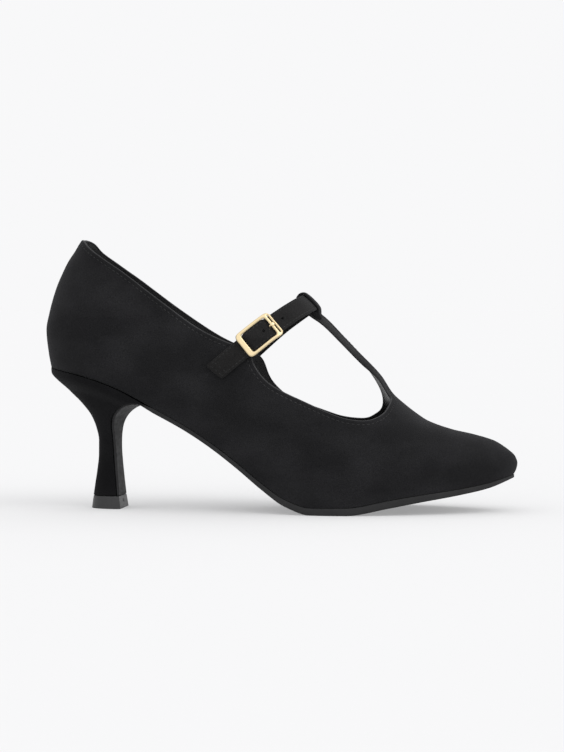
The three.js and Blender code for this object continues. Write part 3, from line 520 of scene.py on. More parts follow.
# Open edge of one side on the sheet, from the back seam to the end of the bar on the ridge
def top_edge(side):
    column = "outer" if side < 0 else "inner"
    rows = []
    for tab in (COLLAR_LINE, CUT_OUT_LINE):
        rows += zip(tab["along"], tab[column])
    rows += zip(CUT_OUT_END[side]["along"], CUT_OUT_END[side]["height"])
    line = np.array([(a * LENGTH, float(feather_height(a)) + share * BACK_RISE) for a, share in rows])
    back = np.array([[x, line[0, 1]] for x in LEVEL_BACK])
    quarter = respaced(smooth_line(np.vstack([back, line])), EDGE_SPACING)
    along, turn = seen_from_side(quarter[:, 0], quarter[:, 1])
    pieces = [last_to_sheet(along, turn)[along > 0]]
    start = pieces[0][0]
    pieces.insert(0, np.array([[0.0, start[1]]]))
    front = line[-1, 0]
    end_half = abs(float(last_point(along[-1], turn[-1], side)[1]))
    foot = bar_foot(side, front)
    across = [(front, h) for h in np.linspace(end_half, foot[0][1], 12)[1:-1]]
    bar = [(x, BAR_WIDTH / 2) for x in np.arange(foot[-1][0] - 1, BAR_END, -EDGE_SPACING)]
    end = [(BAR_END, h) for h in np.linspace(BAR_WIDTH / 2, 0, 5)]
    x, half = np.array([*(across if side < 0 else []), *foot, *bar, *end]).T
    along, turn = seen_from_top(x, half, side)
    pieces.append(last_to_sheet(along, turn))
    return np.vstack(pieces)


# Directions on the skin: the way along a line of sheet points, the normal and the way in
def edge_frame(sheet, side):
    step = 0.05
    point = sheet_point(sheet, side)
    size = np.array([[step, 0.0], [0.0, step]])
    slope_x = (sheet_point(np.clip(sheet + size[0], 0, SHEET), side) - point) / step
    slope_y = (sheet_point(np.clip(sheet - size[1], 0, SHEET), side) - point) / -step
    tangent = unit(np.gradient(point, axis=0))
    normal = last_normal(*sheet_to_last(sheet), side)
    inwards = unit(np.cross(normal, tangent)) * side
    jacobian = np.stack([slope_x, slope_y], axis=-1)
    gram = np.einsum("nki,nkj->nij", jacobian, jacobian) + np.eye(2) * 1e-4
    shift = np.linalg.solve(gram, np.einsum("nki,nk->ni", jacobian, inwards)[..., None])[..., 0]
    return point, tangent, normal, inwards, shift


# How deep into the skin rows of points follow its open edge
EDGE_ROWS = (0.5, 1.0, 1.5, 1.9, 2.3, 2.9, 3.6)
LINING_ROWS = (1.4,)
STITCH_DEPTH = 1.5
SUEDE_SPACING = 1.2
LINING_SPACING = 2.2
SHEET_CLEARANCE = 0.6
TOE_STEPS = 60

# Thickening of the T-bar, which fades out on the vamp and away from the ridge
BAR_SWELL = 0.5
LOOP_SWELL = 1.1
LOOP_SWELL_REACH = 0.045
BAR_ALONG = (0.68, 0.73)
BAR_TURN = (0.8, 0.9)


def wall_at(along, turn, side):
    point = last_point(along, turn, side)
    half = np.abs(point[..., 1])
    bar = smoothstep(-half, -BAR_WIDTH, -BAR_WIDTH / 2) * smoothstep(-along, -BAR_ALONG[1], -BAR_ALONG[0])
    bar = bar * smoothstep(turn, *BAR_TURN)
    under_loop = crease(np.maximum(0, along - STRAP_CROSSING), 1, 0, LOOP_SWELL_REACH)
    return WALL + (BAR_THICKNESS - WALL + BAR_SWELL + LOOP_SWELL * under_loop) * bar


EDGE_SOFTENING = 3


# The open edge of one side, set back so that its rounded rim ends on the drawn line
def rim_line(side):
    sheet = top_edge(side)
    sheet[1:-1] = softened(sheet, EDGE_SOFTENING)[1:-1]
    shift = edge_frame(sheet, side)[4]
    sheet = np.clip(sheet + shift * RIM, 0, SHEET)
    sheet[0, 0] = 0.0
    sheet[-1, 1] = SHEET[1]
    return sheet


# One half of the skin as triangles on the sheet
def skin_side(side, edge, spacing, rows):
    start, end = edge[0], edge[-1]
    ridge_count = int((SHEET[0] - end[0]) / spacing)
    ridge = np.linspace(end, SHEET, ridge_count)[1:]
    toe = np.linspace(SHEET, (SHEET[0], 0.0), TOE_STEPS)[1:]
    foot = np.linspace((SHEET[0], 0.0), (0.0, 0.0), int(SHEET[0] / spacing))[1:]
    back = np.linspace((0.0, 0.0), start, int(start[1] / spacing))[1:-1]
    loop = np.vstack([edge, ridge, toe, foot, back])
    shift = edge_frame(edge, side)[4]
    follow = []
    for depth in rows:
        row = edge + shift * depth
        row = row[inside([loop], row)]
        row = clear_of(row, np.vstack([edge, ridge, toe, foot, back]), 0.55 * min(depth, 0.9))
        follow.append(row)
    follow = np.vstack(follow)
    grid = grid_inside([loop], spacing, SHEET_CLEARANCE * spacing)
    grid = clear_of(grid, follow, SHEET_CLEARANCE * spacing)
    return triangulated([loop], np.vstack([follow, grid]))


# Both halves of the skin, joined at the back seam, the ridge and the toe
def whole_skin(edges, spacing, rows):
    points, faces, sheets, sides, edge_ids = [], [], [], [], []
    count = 0
    for side in (-1, 1):
        sheet, triangles = skin_side(side, edges[side], spacing, rows)
        points.append(sheet_point(sheet, side))
        along, turn = sheet_to_last(sheet)
        normal = last_normal(along, turn, side)
        a, b, c = (points[-1][triangles[:, k]] for k in range(3))
        outward = np.einsum("ij,ij->i", np.cross(b - a, c - a), normal[triangles].sum(axis=1))
        triangles = np.where((outward < 0)[:, None], triangles[:, ::-1], triangles)
        faces.append(triangles + count)
        sheets.append(sheet)
        sides.append(np.full(len(sheet), side))
        edge_ids.append(np.arange(len(edges[side])) + count)
        count += len(sheet)
    points, sheets, sides = np.vstack(points), np.vstack(sheets), np.concatenate(sides)
    key = np.round(points, 3)
    first, index = np.unique(key, axis=0, return_index=True, return_inverse=True)[1:]
    index = index.reshape(-1)
    faces = index[np.vstack(faces)]
    a, b, c = faces.T
    faces = faces[(a != b) & (b != c) & (c != a)]
    ring = np.concatenate([index[edge_ids[0]], index[edge_ids[1]][::-1][1:-1]])
    return points[first], faces, sheets[first], sides[first], ring


# Slow undulation of leather over a last, in millimetres
def waves(points, lengths, seed):
    value = np.zeros(len(points))
    rng = np.random.default_rng(seed)
    for length in lengths:
        direction = unit(rng.normal(size=(3, 3)))
        phase = rng.uniform(0, 2 * math.pi, 3)
        for way, start in zip(direction, phase):
            value += np.sin(points @ way * (2 * math.pi / length) + start) * length
    return value / (3 * sum(lengths))


# Rise, place and breadth of the soft ridges and troughs of the skin
FOLD_RIDGE = (0.1, 0.5, 0.5)
STITCH_TROUGH = (-0.2, STITCH_DEPTH, 0.32)
SEAM_SHOULDER = (0.1, 1.2, 0.6)
SEAM_TROUGH = (-0.28, 0.0, 0.4)
SEAM_ALONG = 0.12

# Undulation of the leather and the small pleats where it turns under the last
WAVE_HEIGHT = 0.14
WAVE_LENGTHS = (28, 43, 61)
WAVE_SEED = 5
WAVE_FADE = (1, 10)
PLEAT_HEIGHT = 0.05
PLEAT_TURNS = 420
PLEAT_WANDER = 60
PLEAT_REACH = 0.12
BAR_CALM = 0.4


def skin_relief(points, sheets, edge_points):
    along, turn = sheet_to_last(sheets)
    depth = nearest(points, edge_points)
    bar = smoothstep(turn, 0.86, 0.93) * smoothstep(-along, -0.72, -0.69)
    roll = crease(depth, *FOLD_RIDGE) + crease(depth, *STITCH_TROUGH)
    beside = np.abs(points[:, 1])
    seam = crease(beside, *SEAM_SHOULDER) + crease(beside, *SEAM_TROUGH)
    seam = np.where(along < SEAM_ALONG, seam, 0)
    slow = WAVE_HEIGHT * waves(points, WAVE_LENGTHS, WAVE_SEED) * smoothstep(depth, *WAVE_FADE)
    wander = 2 * np.sin(along * PLEAT_WANDER)
    pleats = PLEAT_HEIGHT * np.sin(along * PLEAT_TURNS + wander) * crease(turn / 0.5, 1, 0, PLEAT_REACH)
    return roll * (1 - BAR_CALM * bar) + seam + slow + pleats


# Normals and wall of the skin's points, each taken on its own side of the shoe
def skin_frame(sheets, sides):
    along, turn = sheet_to_last(sheets)
    outer = sides < 0
    normals = np.where(outer[:, None], last_normal(along, turn, -1), last_normal(along, turn, 1))
    return normals, np.where(outer, wall_at(along, turn, -1), wall_at(along, turn, 1))


# Rows round the rim, and how many of its strips take the lighter suede, a painted highlight along the
# folded edge
RIM_ROWS = 9
RIM_HIGHLIGHT_STRIPS = 6


def make_upper(suede, rim_highlight, lining):
    edges = {side: rim_line(side) for side in (-1, 1)}
    dense = np.vstack([sheet_point(edges[side], side) for side in (-1, 1)])
    points, faces, sheets, sides, ring = whole_skin(edges, SUEDE_SPACING, EDGE_ROWS)
    normals, wall = skin_frame(sheets, sides)
    outer = points + normals * skin_relief(points, sheets, dense)[:, None]

    rim_rows = rim_rings(outer, normals, wall, ring)
    count = len(outer)
    rim_points = np.vstack(rim_rows)
    rim_faces = lattice_faces(len(rim_rows), len(ring), ring=True, start=count)
    foot_points, foot_faces = turned_under(outer, normals, sheets, sides, count + len(rim_points))
    everything = np.vstack([outer, rim_points, foot_points])
    all_faces = [*faces.tolist(), *rim_faces.tolist(), *foot_faces.tolist()]
    # The rim's middle strips take the second material: lighter suede that paints the highlight where the
    # folded edge catches the light
    rim_highlight_kinds = [int(0 < strip < RIM_HIGHLIGHT_STRIPS) for strip in range(len(rim_rows) - 1) for _ in ring]
    kinds = [0] * len(faces) + rim_highlight_kinds + [0] * len(foot_faces)
    upper = mesh_piece("upper_suede", everything, all_faces, [suede, rim_highlight], kinds)
    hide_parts("upper")

    points, faces, sheets, sides = whole_skin(edges, LINING_SPACING, LINING_ROWS)[:4]
    normals, wall = skin_frame(sheets, sides)
    inner = points - normals * wall[:, None]
    mesh_piece("upper_lining", inner, faces[:, ::-1], [lining])
    return edges


# Rows of the rounded rim from the suede over the edge to the lining
def rim_rings(outer, normals, wall, ring):
    edge, normal, thickness = outer[ring], normals[ring], wall[ring][:, None]
    tangent = unit(np.roll(edge, -1, axis=0) - np.roll(edge, 1, axis=0))
    outwards = unit(np.cross(normal, tangent))
    middle = edge - normal * thickness / 2
    rows = []
    for angle in np.linspace(0, math.pi, RIM_ROWS):
        lift = math.cos(angle) * thickness / 2
        rows.append(middle + normal * lift + outwards * math.sin(angle) * RIM)
    return rows


TUCK_DROP = 0.8 * GAP
TUCK_REACHES = (0.35, 3)


# Strips that carry the skin under the last along the feather line
def turned_under(outer, normals, sheets, sides, start):
    on_foot = np.where(sheets[:, 1] < 1e-6)[0]
    run = sheets[on_foot, 0]
    ids = on_foot[np.argsort(np.where(sides[on_foot] < 0, run, 2 * SHEET[0] - run))]
    flat = unit(normals[ids] * (1, 1, 0))
    drop = np.array([0, 0, -TUCK_DROP])
    rows = [outer[ids], *(outer[ids] - flat * reach + drop for reach in TUCK_REACHES)]
    return np.vstack(rows), lattice_faces(len(rows), len(ids), ring=True, start=start)


# Strap

STRAP_ROWS = 160
SEARCH_HALVINGS = 45


# The strap's middle line on one side, where a leaning plane meets the last
def strap_walk(side):
    turn = np.linspace(1, 1 - STRAP_TURN, STRAP_ROWS)
    top = last_point(STRAP_CROSSING, 1.0, side)
    slope = math.tan(STRAP_PITCH)
    bow = STRAP_BOW_OUTSIDE if side < 0 else STRAP_BOW_INSIDE
    low = np.full(STRAP_ROWS, STRAP_CROSSING - STRAP_OUTSIDE / LENGTH)
    high = np.full(STRAP_ROWS, STRAP_CROSSING + STRAP_WIDTH / 2 / LENGTH)
    for _ in range(SEARCH_HALVINGS):
        middle = (low + high) / 2
        p = last_point(middle, turn, side)
        t = np.clip((top[0] - p[:, 0]) / STRAP_BOW_REACH, 0, 1)
        line = top[2] + slope * (p[:, 0] - top[0]) + BOW_PEAK * bow * t * (1 - t) ** 2
        above = p[:, 2] > line
        low, high = np.where(above, middle, low), np.where(above, high, middle)
    along = (low + high) / 2
    return last_point(along, turn, side), last_normal(along, turn, side)


def strap_table():
    outer, outer_normal = strap_walk(-1)
    inner, inner_normal = strap_walk(1)
    points = np.vstack([inner[:0:-1], outer])
    normals = np.vstack([inner_normal[:0:-1], outer_normal])
    distance = line_lengths(points)
    distance -= distance[len(inner) - 1]
    forward = unit(np.gradient(points, axis=0))
    across = unit(np.cross(normals, forward))
    return distance, points, normals, across


STRAP_PATH = strap_table()


def on_path(column, distance):
    run, values = STRAP_PATH[0], STRAP_PATH[column]
    out = np.stack([np.interp(distance, run, values[:, k]) for k in range(3)], axis=-1)
    for end, neighbour, beyond in ((0, 1, distance < run[0]), (-1, -2, distance > run[-1])):
        slope = (values[end] - values[neighbour]) / (run[end] - run[neighbour])
        out = np.where(beyond[..., None], values[end] + slope * (distance - run[end])[..., None], out)
    return out


# A point by its distance from the ridge, its place across and its height above the last
def strap_point(distance, across, height):
    given = (np.asarray(value, float) for value in (distance, across, height))
    distance, across, height = np.broadcast_arrays(*given)
    normal, sideways = unit(on_path(2, distance)), unit(on_path(3, distance))
    return on_path(1, distance) + sideways * across[..., None] + normal * height[..., None]


def circle(centre, radius, count):
    angle = np.linspace(0, 2 * math.pi, count, endpoint=False)
    return np.stack([centre[0] + radius * np.cos(angle), centre[1] + radius * np.sin(angle)], axis=-1)


CORNER_STEPS = 7


# Closed outline with rounded corners, evenly spaced
def rounded_outline(corners, radius, spacing):
    corners = np.asarray(corners, float)
    points = []
    for before, here, after in zip(np.roll(corners, 1, axis=0), corners, np.roll(corners, -1, axis=0)):
        a, b = unit(before - here), unit(after - here)
        for t in np.linspace(0, 1, CORNER_STEPS):
            start, end = here + a * radius, here + b * radius
            points.append((1 - t) ** 2 * start + 2 * t * (1 - t) * here + t ** 2 * end)
    closed = np.vstack([points, points[:1]])
    return respaced(closed, spacing)[:-1]


def outline_normals(loop):
    tangent = unit(np.roll(loop, -1, axis=0) - np.roll(loop, 1, axis=0))
    area = np.sum(loop[:, 0] * np.roll(loop[:, 1], -1) - loop[:, 1] * np.roll(loop[:, 0], -1))
    outwards = np.stack([tangent[:, 1], -tangent[:, 0]], axis=-1)
    return outwards if area > 0 else -outwards


ROW_CLEARANCE = 0.8
GRID_CLEARANCE = 0.5
PLATE_RIM_ROWS = 7


# A flat plate bent by place(): an outline with holes, a top and a bottom skin and round rims.
# top(depth) gives the height of the upper skin at a distance from the nearest edge.
# bulge has how far the rims stand out, at the outline and at the holes.
def plate(name, loops, place, top, bottom, spacing, rows, bulge, material):
    margin = np.vstack(loops)
    follow = []
    for i, loop in enumerate(loops):
        way = outline_normals(loop) * (1 if i else -1)
        for depth in rows:
            row = loop + way * depth
            row = row[inside(loops, row)]
            follow.append(clear_of(row, margin, ROW_CLEARANCE * depth))
    follow = np.vstack(follow)
    grid = grid_inside(loops, spacing, GRID_CLEARANCE * spacing)
    inner = np.vstack([follow, clear_of(grid, follow, GRID_CLEARANCE * spacing)])
    flat, faces = triangulated(loops, inner)
    depth = nearest(flat, margin)
    upper = place(flat[:, 0], flat[:, 1], top(depth))
    lower = place(flat[:, 0], flat[:, 1], bottom(depth))
    points = [upper, lower]
    count = len(flat)
    faces = [*faces.tolist(), *(faces[:, ::-1] + count).tolist()]
    total, start = 2 * count, 0
    zero = np.zeros(1)
    high, low = float(top(zero)[0]), float(bottom(zero)[0])
    middle, half = (high + low) / 2, (high - low) / 2
    for i, loop in enumerate(loops):
        size = len(loop)
        way = outline_normals(loop) * (-1 if i else 1)
        rings = []
        for angle in np.linspace(0, math.pi, PLATE_RIM_ROWS)[1:-1]:
            out = loop + way * bulge[min(i, 1)] * math.sin(angle)
            rings.append(place(out[:, 0], out[:, 1], np.full(size, middle + half * math.cos(angle))))
        edge = np.arange(start, start + size)
        rims = [total + k * size + np.arange(size) for k in range(len(rings))]
        ids = [edge, *rims, edge + count]
        for a, b in zip(ids, ids[1:]):
            faces += ring_faces(a, b)[:, ::-1].tolist()
        points.extend(rings)
        total += size * len(rings)
        start += size
    return mesh_piece(name, np.vstack(points), faces, [material])


STRAP_EDGE_STITCH = 1.15
STRAP_BULGE = 0.35
STRAP_CORNER = 0.8
STRAP_SPACING = 0.9
HOLE_STEPS = 20
STRAP_EDGE_ROWS = (0.15, 0.35, 0.6, 0.9, 1.15, 1.4, 1.8)

# Rounding of the strap's edges, the trough under its stitches and its full middle
STRAP_ROUND_TOP = (-0.22, 0.0, 0.3)
STRAP_ROUND_BOTTOM = (0.18, 0.0, 0.3)
STRAP_TROUGH = (-0.16, STRAP_EDGE_STITCH, 0.28)
STRAP_CROWN = 0.08
STRAP_CROWN_RAMP = (1.3, 3)

# Between the buckle's bars the strap stands up and fills the frame
STRAP_SWELL = 1.35
STRAP_SPREAD = 0.06
SWELL_RAMP = 2.4

# Window of the buckle, between its inner bar and its end bar
WINDOW_START = BUCKLE_PLACE - BUCKLE_LENGTH / 2 + 2 * BUCKLE_THIN_BAR + BUCKLE_SLOT
WINDOW_END = BUCKLE_PLACE + BUCKLE_LENGTH / 2 - BUCKLE_END_BAR
PIN_PLACE = WINDOW_START + GAP + PRONG_PIN / 2


def buckled_point(distance, across, height):
    low, high = WINDOW_START, WINDOW_END
    swell = smoothstep(distance, low, low + SWELL_RAMP) * smoothstep(-distance, -high, SWELL_RAMP - high)
    return strap_point(distance, across * (1 + STRAP_SPREAD * swell), height + STRAP_SWELL * swell)


def strap_top(depth):
    roll = crease(depth, *STRAP_ROUND_TOP)
    trough = crease(depth, *STRAP_TROUGH)
    crown = STRAP_CROWN * smoothstep(depth, *STRAP_CROWN_RAMP)
    return GAP + STRAP_THICKNESS + roll + trough + crown


def strap_bottom(depth):
    return GAP + crease(depth, *STRAP_ROUND_BOTTOM)


def make_strap(material):
    half = STRAP_WIDTH / 2 - STRAP_BULGE
    slant = STRAP_SLANT / 2
    corners = [
        (-STRAP_INSIDE, -half), (STRAP_OUTSIDE + slant - STRAP_BULGE, -half),
        (STRAP_OUTSIDE - slant - STRAP_BULGE, half), (-STRAP_INSIDE, half),
    ]
    outline = rounded_outline(corners, STRAP_CORNER, STRAP_CORNER)
    places = [FIRST_HOLE + i * HOLE_PITCH for i in range(HOLE_COUNT)] + [PIN_PLACE]
    holes = [circle((place, 0.0), HOLE_DIAMETER / 2, HOLE_STEPS) for place in places]
    strap = plate("ankle_strap", [outline, *holes], buckled_point, strap_top, strap_bottom,
                  STRAP_SPACING, STRAP_EDGE_ROWS, (STRAP_BULGE, 0.0), material)
    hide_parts("strap")


# Buckle

# Rounded edge of the frame: how wide, and how deep at the top and at the bottom
BUCKLE_ROUND = 0.45
BUCKLE_ROUND_TOP = 0.42
BUCKLE_ROUND_BOTTOM = 0.35
BUCKLE_BULGE = 0.12
OUTER_CORNER = 1.05 * BUCKLE_CORNER
WINDOW_CORNER = 0.6 * BUCKLE_CORNER
SLOT_CORNER = 0.3
OUTLINE_SPACING = 0.33
SLOT_SPACING = 0.3
BUCKLE_SPACING = 0.34
BUCKLE_EDGE_ROWS = (0.1, 0.24, 0.42)

# Half sizes of the prong's wrap and of its pin, and where they lie from the frame's top
PRONG_WRAP = (0.95, PRONG_WIDTH / 2, 0.5)
PRONG_SHIFT = 0.1
PRONG_RISE = 0.18
PIN_BLOCK = (PRONG_PIN / 2, PRONG_PIN / 2, 1.5)
PIN_DROP = 1.25


def buckle_edge(depth):
    return (1 - np.minimum(depth / BUCKLE_ROUND, 1)) ** 2


def buckle_top(depth):
    return BUCKLE_BASE + BUCKLE_THICKNESS - BUCKLE_ROUND_TOP * buckle_edge(depth)


def buckle_bottom(depth):
    return BUCKLE_BASE + BUCKLE_ROUND_BOTTOM * buckle_edge(depth)


def on_buckle(distance, across, height):
    return strap_point(distance + BUCKLE_PLACE, across, height)


def frame_loop(low, high, wide, corner, spacing):
    corners = [(low, -wide), (high, -wide), (high, wide), (low, wide)]
    return rounded_outline(corners, corner, spacing)


def make_buckle(metal):
    end = BUCKLE_LENGTH / 2
    bulge = BUCKLE_BULGE
    inner = STRAP_WIDTH / 2 + BUCKLE_PLAY
    half = inner + BUCKLE_RAIL
    slot = -end + BUCKLE_THIN_BAR
    bar = -end + 2 * BUCKLE_THIN_BAR + BUCKLE_SLOT
    window = end - BUCKLE_END_BAR
    loops = [
        frame_loop(-end + bulge, end - bulge, half - bulge, OUTER_CORNER, OUTLINE_SPACING),
        frame_loop(bar + bulge, window - bulge, inner - bulge, WINDOW_CORNER, OUTLINE_SPACING),
        frame_loop(slot, slot + BUCKLE_SLOT, inner - bulge, SLOT_CORNER, SLOT_SPACING),
    ]
    buckle = plate("buckle", loops, on_buckle, buckle_top, buckle_bottom, BUCKLE_SPACING,
                   BUCKLE_EDGE_ROWS, (bulge, -bulge / 2), metal)
    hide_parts("buckle_frame")

    top = BUCKLE_BASE + BUCKLE_THICKNESS
    wrap, wrap_faces = rounded_block(PRONG_WRAP)
    pin, pin_faces = rounded_block(PIN_BLOCK)
    wrap_at = bar - BUCKLE_THIN_BAR / 2 + PRONG_SHIFT
    wrap = on_buckle(wrap[:, 0] + wrap_at, wrap[:, 1], wrap[:, 2] + top + PRONG_RISE)
    pin = on_buckle(pin[:, 0] + PIN_PLACE - BUCKLE_PLACE, pin[:, 1], pin[:, 2] + top - PIN_DROP)
    faces = np.vstack([wrap_faces, pin_faces + len(wrap)])
    prong = mesh_piece("prong", np.vstack([wrap, pin]), faces, [metal])
    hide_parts("buckle_prong")


# A block with full round edges, as a ring lattice between two poles
def rounded_block(half_sizes, fullness=3.2, rings=14, around=28):
    latitude = np.linspace(-math.pi / 2, math.pi / 2, rings)
    longitude = np.linspace(0, 2 * math.pi, around, endpoint=False)
    lat, lon = np.meshgrid(latitude, longitude, indexing="ij")
    cos_lat, sin_lat, cos_lon, sin_lon = (
        squared_off(value, 2 / fullness) for value in (np.cos(lat), np.sin(lat), np.cos(lon), np.sin(lon))
    )
    points = np.stack([
        cos_lat * cos_lon * half_sizes[0],
        cos_lat * sin_lon * half_sizes[1],
        sin_lat * half_sizes[2],
    ], axis=-1).reshape(-1, 3)
    return points, lattice_faces(rings, around, ring=True)


# Loop at the top of the T-bar

# Outer contour of the loop seen from the side: down the bar, above the last
LOOP_CONTOUR = [
    (-6.9, -1.6), (-7.05, 0.4), (-6.6, 1.9), (-5.4, 3.0), (-3.0, 3.45), (0.5, 3.45), (3.6, 3.2),
    (5.7, 2.55), (6.9, 1.5), (7.9, 0.55), (9.4, 0.1), (10.2, -0.9), (8.0, -2.4), (2.0, -2.75), (-4.5, -2.5),
]

# The strap's way through the loop: half its length, its bottom and its top
PASSAGE = (5.35, 0.02, 2.1)
PASSAGE_CORNER = 0.8
PASSAGE_SPACING = 0.25
LOOP_AROUND = 120
LOOP_ROWS = 24
LOOP_ROUND = 0.4
LOOP_SQUARENESS = 0.35


# A cosine or sine raised to a power, so that a round section becomes squarer
def squared_off(value, power):
    return np.sign(value) * np.abs(value) ** power


def make_loop(suede):
    outer = np.array(LOOP_CONTOUR)
    closed = smooth_line(np.vstack([outer, outer[:1]]), 12)
    outer = respaced(closed, line_lengths(closed)[-1] / LOOP_AROUND)[:-1]
    reach, low, high = PASSAGE
    corners = [(-reach, low), (-reach, high), (reach, high), (reach, low)]
    passage = rounded_outline(corners, PASSAGE_CORNER, PASSAGE_SPACING)
    centre = np.array([0.0, (low + high) / 2])
    hole = []
    for point in outer:
        way = unit(point - centre)
        far = (passage - centre) @ way
        beside = np.abs((passage - centre) @ np.array([-way[1], way[0]]))
        facing = np.where(far > 0, beside, 1e9)
        hole.append(passage[np.argmin(facing)])
    hole = softened(np.array(hole), 2)
    rows = []
    for angle in np.linspace(0, 2 * math.pi, LOOP_ROWS, endpoint=False):
        across = squared_off(math.sin(angle), LOOP_SQUARENESS)
        share = (squared_off(math.cos(angle), LOOP_SQUARENESS) + 1) / 2
        contour = hole + (outer - hole) * share
        y = across * (LOOP_WIDTH / 2 - LOOP_ROUND * (1 - abs(across)))
        rows.append(strap_point(np.full(len(contour), -y), contour[:, 0], contour[:, 1]))
    faces = lattice_faces(LOOP_ROWS + 1, LOOP_AROUND, ring=True) % (LOOP_ROWS * LOOP_AROUND)
    mesh_piece("bar_loop", np.vstack(rows), faces, [suede])


CAP_SHARES = (0.6, 0.25)


# Closed rows of points as a skin, with both ends filled from their middle
def loft(name, rows, materials, kinds=None, sharp=None):
    rows = np.asarray(rows)
    count, columns = rows.shape[:2]
    faces = lattice_faces(count, columns, ring=True).tolist()
    shades = [] if kinds is None else [kinds[i][j] for i in range(count - 1) for j in range(columns)]
    points = [rows.reshape(-1, 3)]
    total = count * columns
    for row, start, turned in ((rows[0], 0, True), (rows[-1], total - columns, False)):
        middle = row.mean(axis=0)
        points.extend([*(middle + (row - middle) * share for share in CAP_SHARES), middle[None]])
        ids = [start + np.arange(columns), total + np.arange(columns), total + columns + np.arange(columns)]
        hub = total + 2 * columns
        cap = []
        for a, b in zip(ids, ids[1:]):
            cap += ring_faces(a, b).tolist()
        cap += [[int(ids[-1][j]), int(ids[-1][(j + 1) % columns]), hub] for j in range(columns)]
        faces += [face[::-1] for face in cap] if turned else cap
        shades += [0] * len(cap)
        total += 2 * columns + 1
    piece = mesh_piece(name, np.vstack(points), faces, materials, None if kinds is None else shades)
    if sharp is not None:
        piece.data.set_sharp_from_angle(angle=math.radians(sharp))
    return piece


# Sole

SOLE_ROWS = 150
FLAP_ROWS = 90
SOLE_COLUMNS = 33
EDGE_COLUMNS = 11
EDGE_SQUARENESS = 0.55
SOLE_ROUND = 0.8
FLAP_ROUND = 0.3
SOCK_ROUND = 0.7
SOCK_ROWS = 130
DOWN = np.array([0, 0, -1.0])


# Section of a plate with soft edges: outer edge, far face, inner edge and near face
def plate_ring(outer, inner, thickness, down, soft):
    way = unit(inner - outer)
    width = np.linalg.norm(inner - outer)
    soft = min(soft, width / 5 + 1e-6)
    angle = np.linspace(math.pi / 2, -math.pi / 2, EDGE_COLUMNS)
    out = squared_off(np.cos(angle), EDGE_SQUARENESS)
    high = squared_off(np.sin(angle), EDGE_SQUARENESS)
    across = np.linspace(soft, width - soft, SOLE_COLUMNS)[1:-1]
    left = [outer + way * soft * (1 - o) + down * thickness * (1 - h) / 2 for o, h in zip(out, high)]
    right = [inner - way * soft * (1 - o) + down * thickness * (1 - h) / 2 for o, h in zip(out, high)]
    bottom = [outer + way * a + down * thickness for a in across]
    top = [outer + way * a for a in across[::-1]]
    return np.array([*left, *bottom, *right[::-1], *top])


# At the cove the outer edge of the flap and of the heel lies further back
COVE_SETBACK = 1.6
COVE_LEVEL = 0.67
COVE_SPAN = 0.13


# The flap ends this far above the top piece
FLAP_CLEARANCE = 0.15


def cove_setback(height):
    return crease(height / HEEL_HEIGHT, COVE_SETBACK, COVE_LEVEL, COVE_SPAN)


# Rings of the flap, from the foot of the heel up to the cove
def flap_rings():
    rings = []
    sizes = (HEEL_REACH, SEAT_WIDTH / 2, HEEL_HEIGHT)
    shares = np.stack([FLAP_LINE[column] for column in ("reach", "half", "lift")], axis=-1)
    line = smooth_line(shares * sizes)
    line = respaced(line, line_lengths(line)[-1] / FLAP_ROWS)[::-1]
    tangent = unit(np.gradient(line, axis=0) * (1, 0, 1))
    outward = np.stack([-tangent[:, 2], np.zeros(len(line)), tangent[:, 0]], axis=-1)
    flip = (outward[:, 0] < 0) | ((np.abs(outward[:, 0]) < 0.5) & (outward[:, 2] > 0))
    outward = np.where(flip[:, None], -outward, outward)
    for p, out in zip(line, outward):
        base = p - out * FLAP_THICKNESS
        outer = np.array([base[0], -p[1], base[2]]) - out * cove_setback(p[2])
        inner = np.array([base[0], p[1], base[2]])
        rings.append(plate_ring(outer, inner, FLAP_THICKNESS, out, FLAP_ROUND))
    foot = TOP_PIECE_HEIGHT + FLAP_CLEARANCE
    drop = (rings[0][:, 2].min() - foot) * tangent[0] / tangent[0][2]
    return [rings[0] - drop, *rings]


# Rings of the sole itself, from the cove to the toe
def sole_rings():
    rings = []
    start = SOLE_START / LENGTH
    for t in np.sin(np.linspace(0, math.pi / 2, SOLE_ROWS)):
        along = min(start + (1 - start) * t, 1 - 1e-4)
        outer, inner = (last_point(along, 0.0, side) for side in (-1, 1))
        outer[2] = inner[2] = sole_top(along)
        thickness = float(sole_top(along) - sole_underside(along))
        rings.append(plate_ring(outer, inner, thickness, DOWN, SOLE_ROUND))
    return rings


# The edges of the sole are inked; its faces and the whole flap are not
def make_outsole(leather, edge):
    flap, sole = flap_rings(), sole_rings()
    side, face = [1] * (EDGE_COLUMNS - 1), [0] * SOLE_COLUMNS
    inked = [*side, *face, *side, *face[2:]]
    kinds = [[0] * len(inked)] * (len(flap) - 1) + [inked] * len(sole)
    piece = loft("sole", flap + sole, [leather, edge], kinds)
    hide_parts("outsole")


def make_sock(lining):
    inset = WALL + 2 * GAP
    stations = (1 - np.cos(np.linspace(0, math.pi, SOCK_ROWS)[2:-2])) / 2
    rings = []
    for along in stations:
        edges = []
        for side in (-1, 1):
            edge = last_point(along, 0.0, side)
            normal = unit(last_normal(along, 0.0, side) * (1, 1, 0))
            p = edge - normal * inset
            limit = float(swing(along))
            p[1] = min(p[1], limit - GAP) if side < 0 else max(p[1], limit + GAP)
            p[2] = float(feather_height(along + (p[0] - edge[0]) / LENGTH)) + INSOLE_THICKNESS
            edges.append(p)
        rings.append(plate_ring(*edges, INSOLE_THICKNESS, DOWN, SOCK_ROUND))
    piece = loft("sock", rings, [lining])
    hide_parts("insole")


# Heel

HEEL_ROWS = 110
HEEL_COLUMNS = 44
BREAST_COLUMNS = 16
HEEL_SHARP_ANGLE = 50

# Inset and lift of the rings that round the heel off at its foot and at its seat
HEEL_FOOT_ROUND = ((0.35, -0.02), (0.1, 0.03))
HEEL_SEAT_ROUND = ((0.12, 0.12), (0.4, 0.18))
HEEL_FOOT_LIFT = 0.1


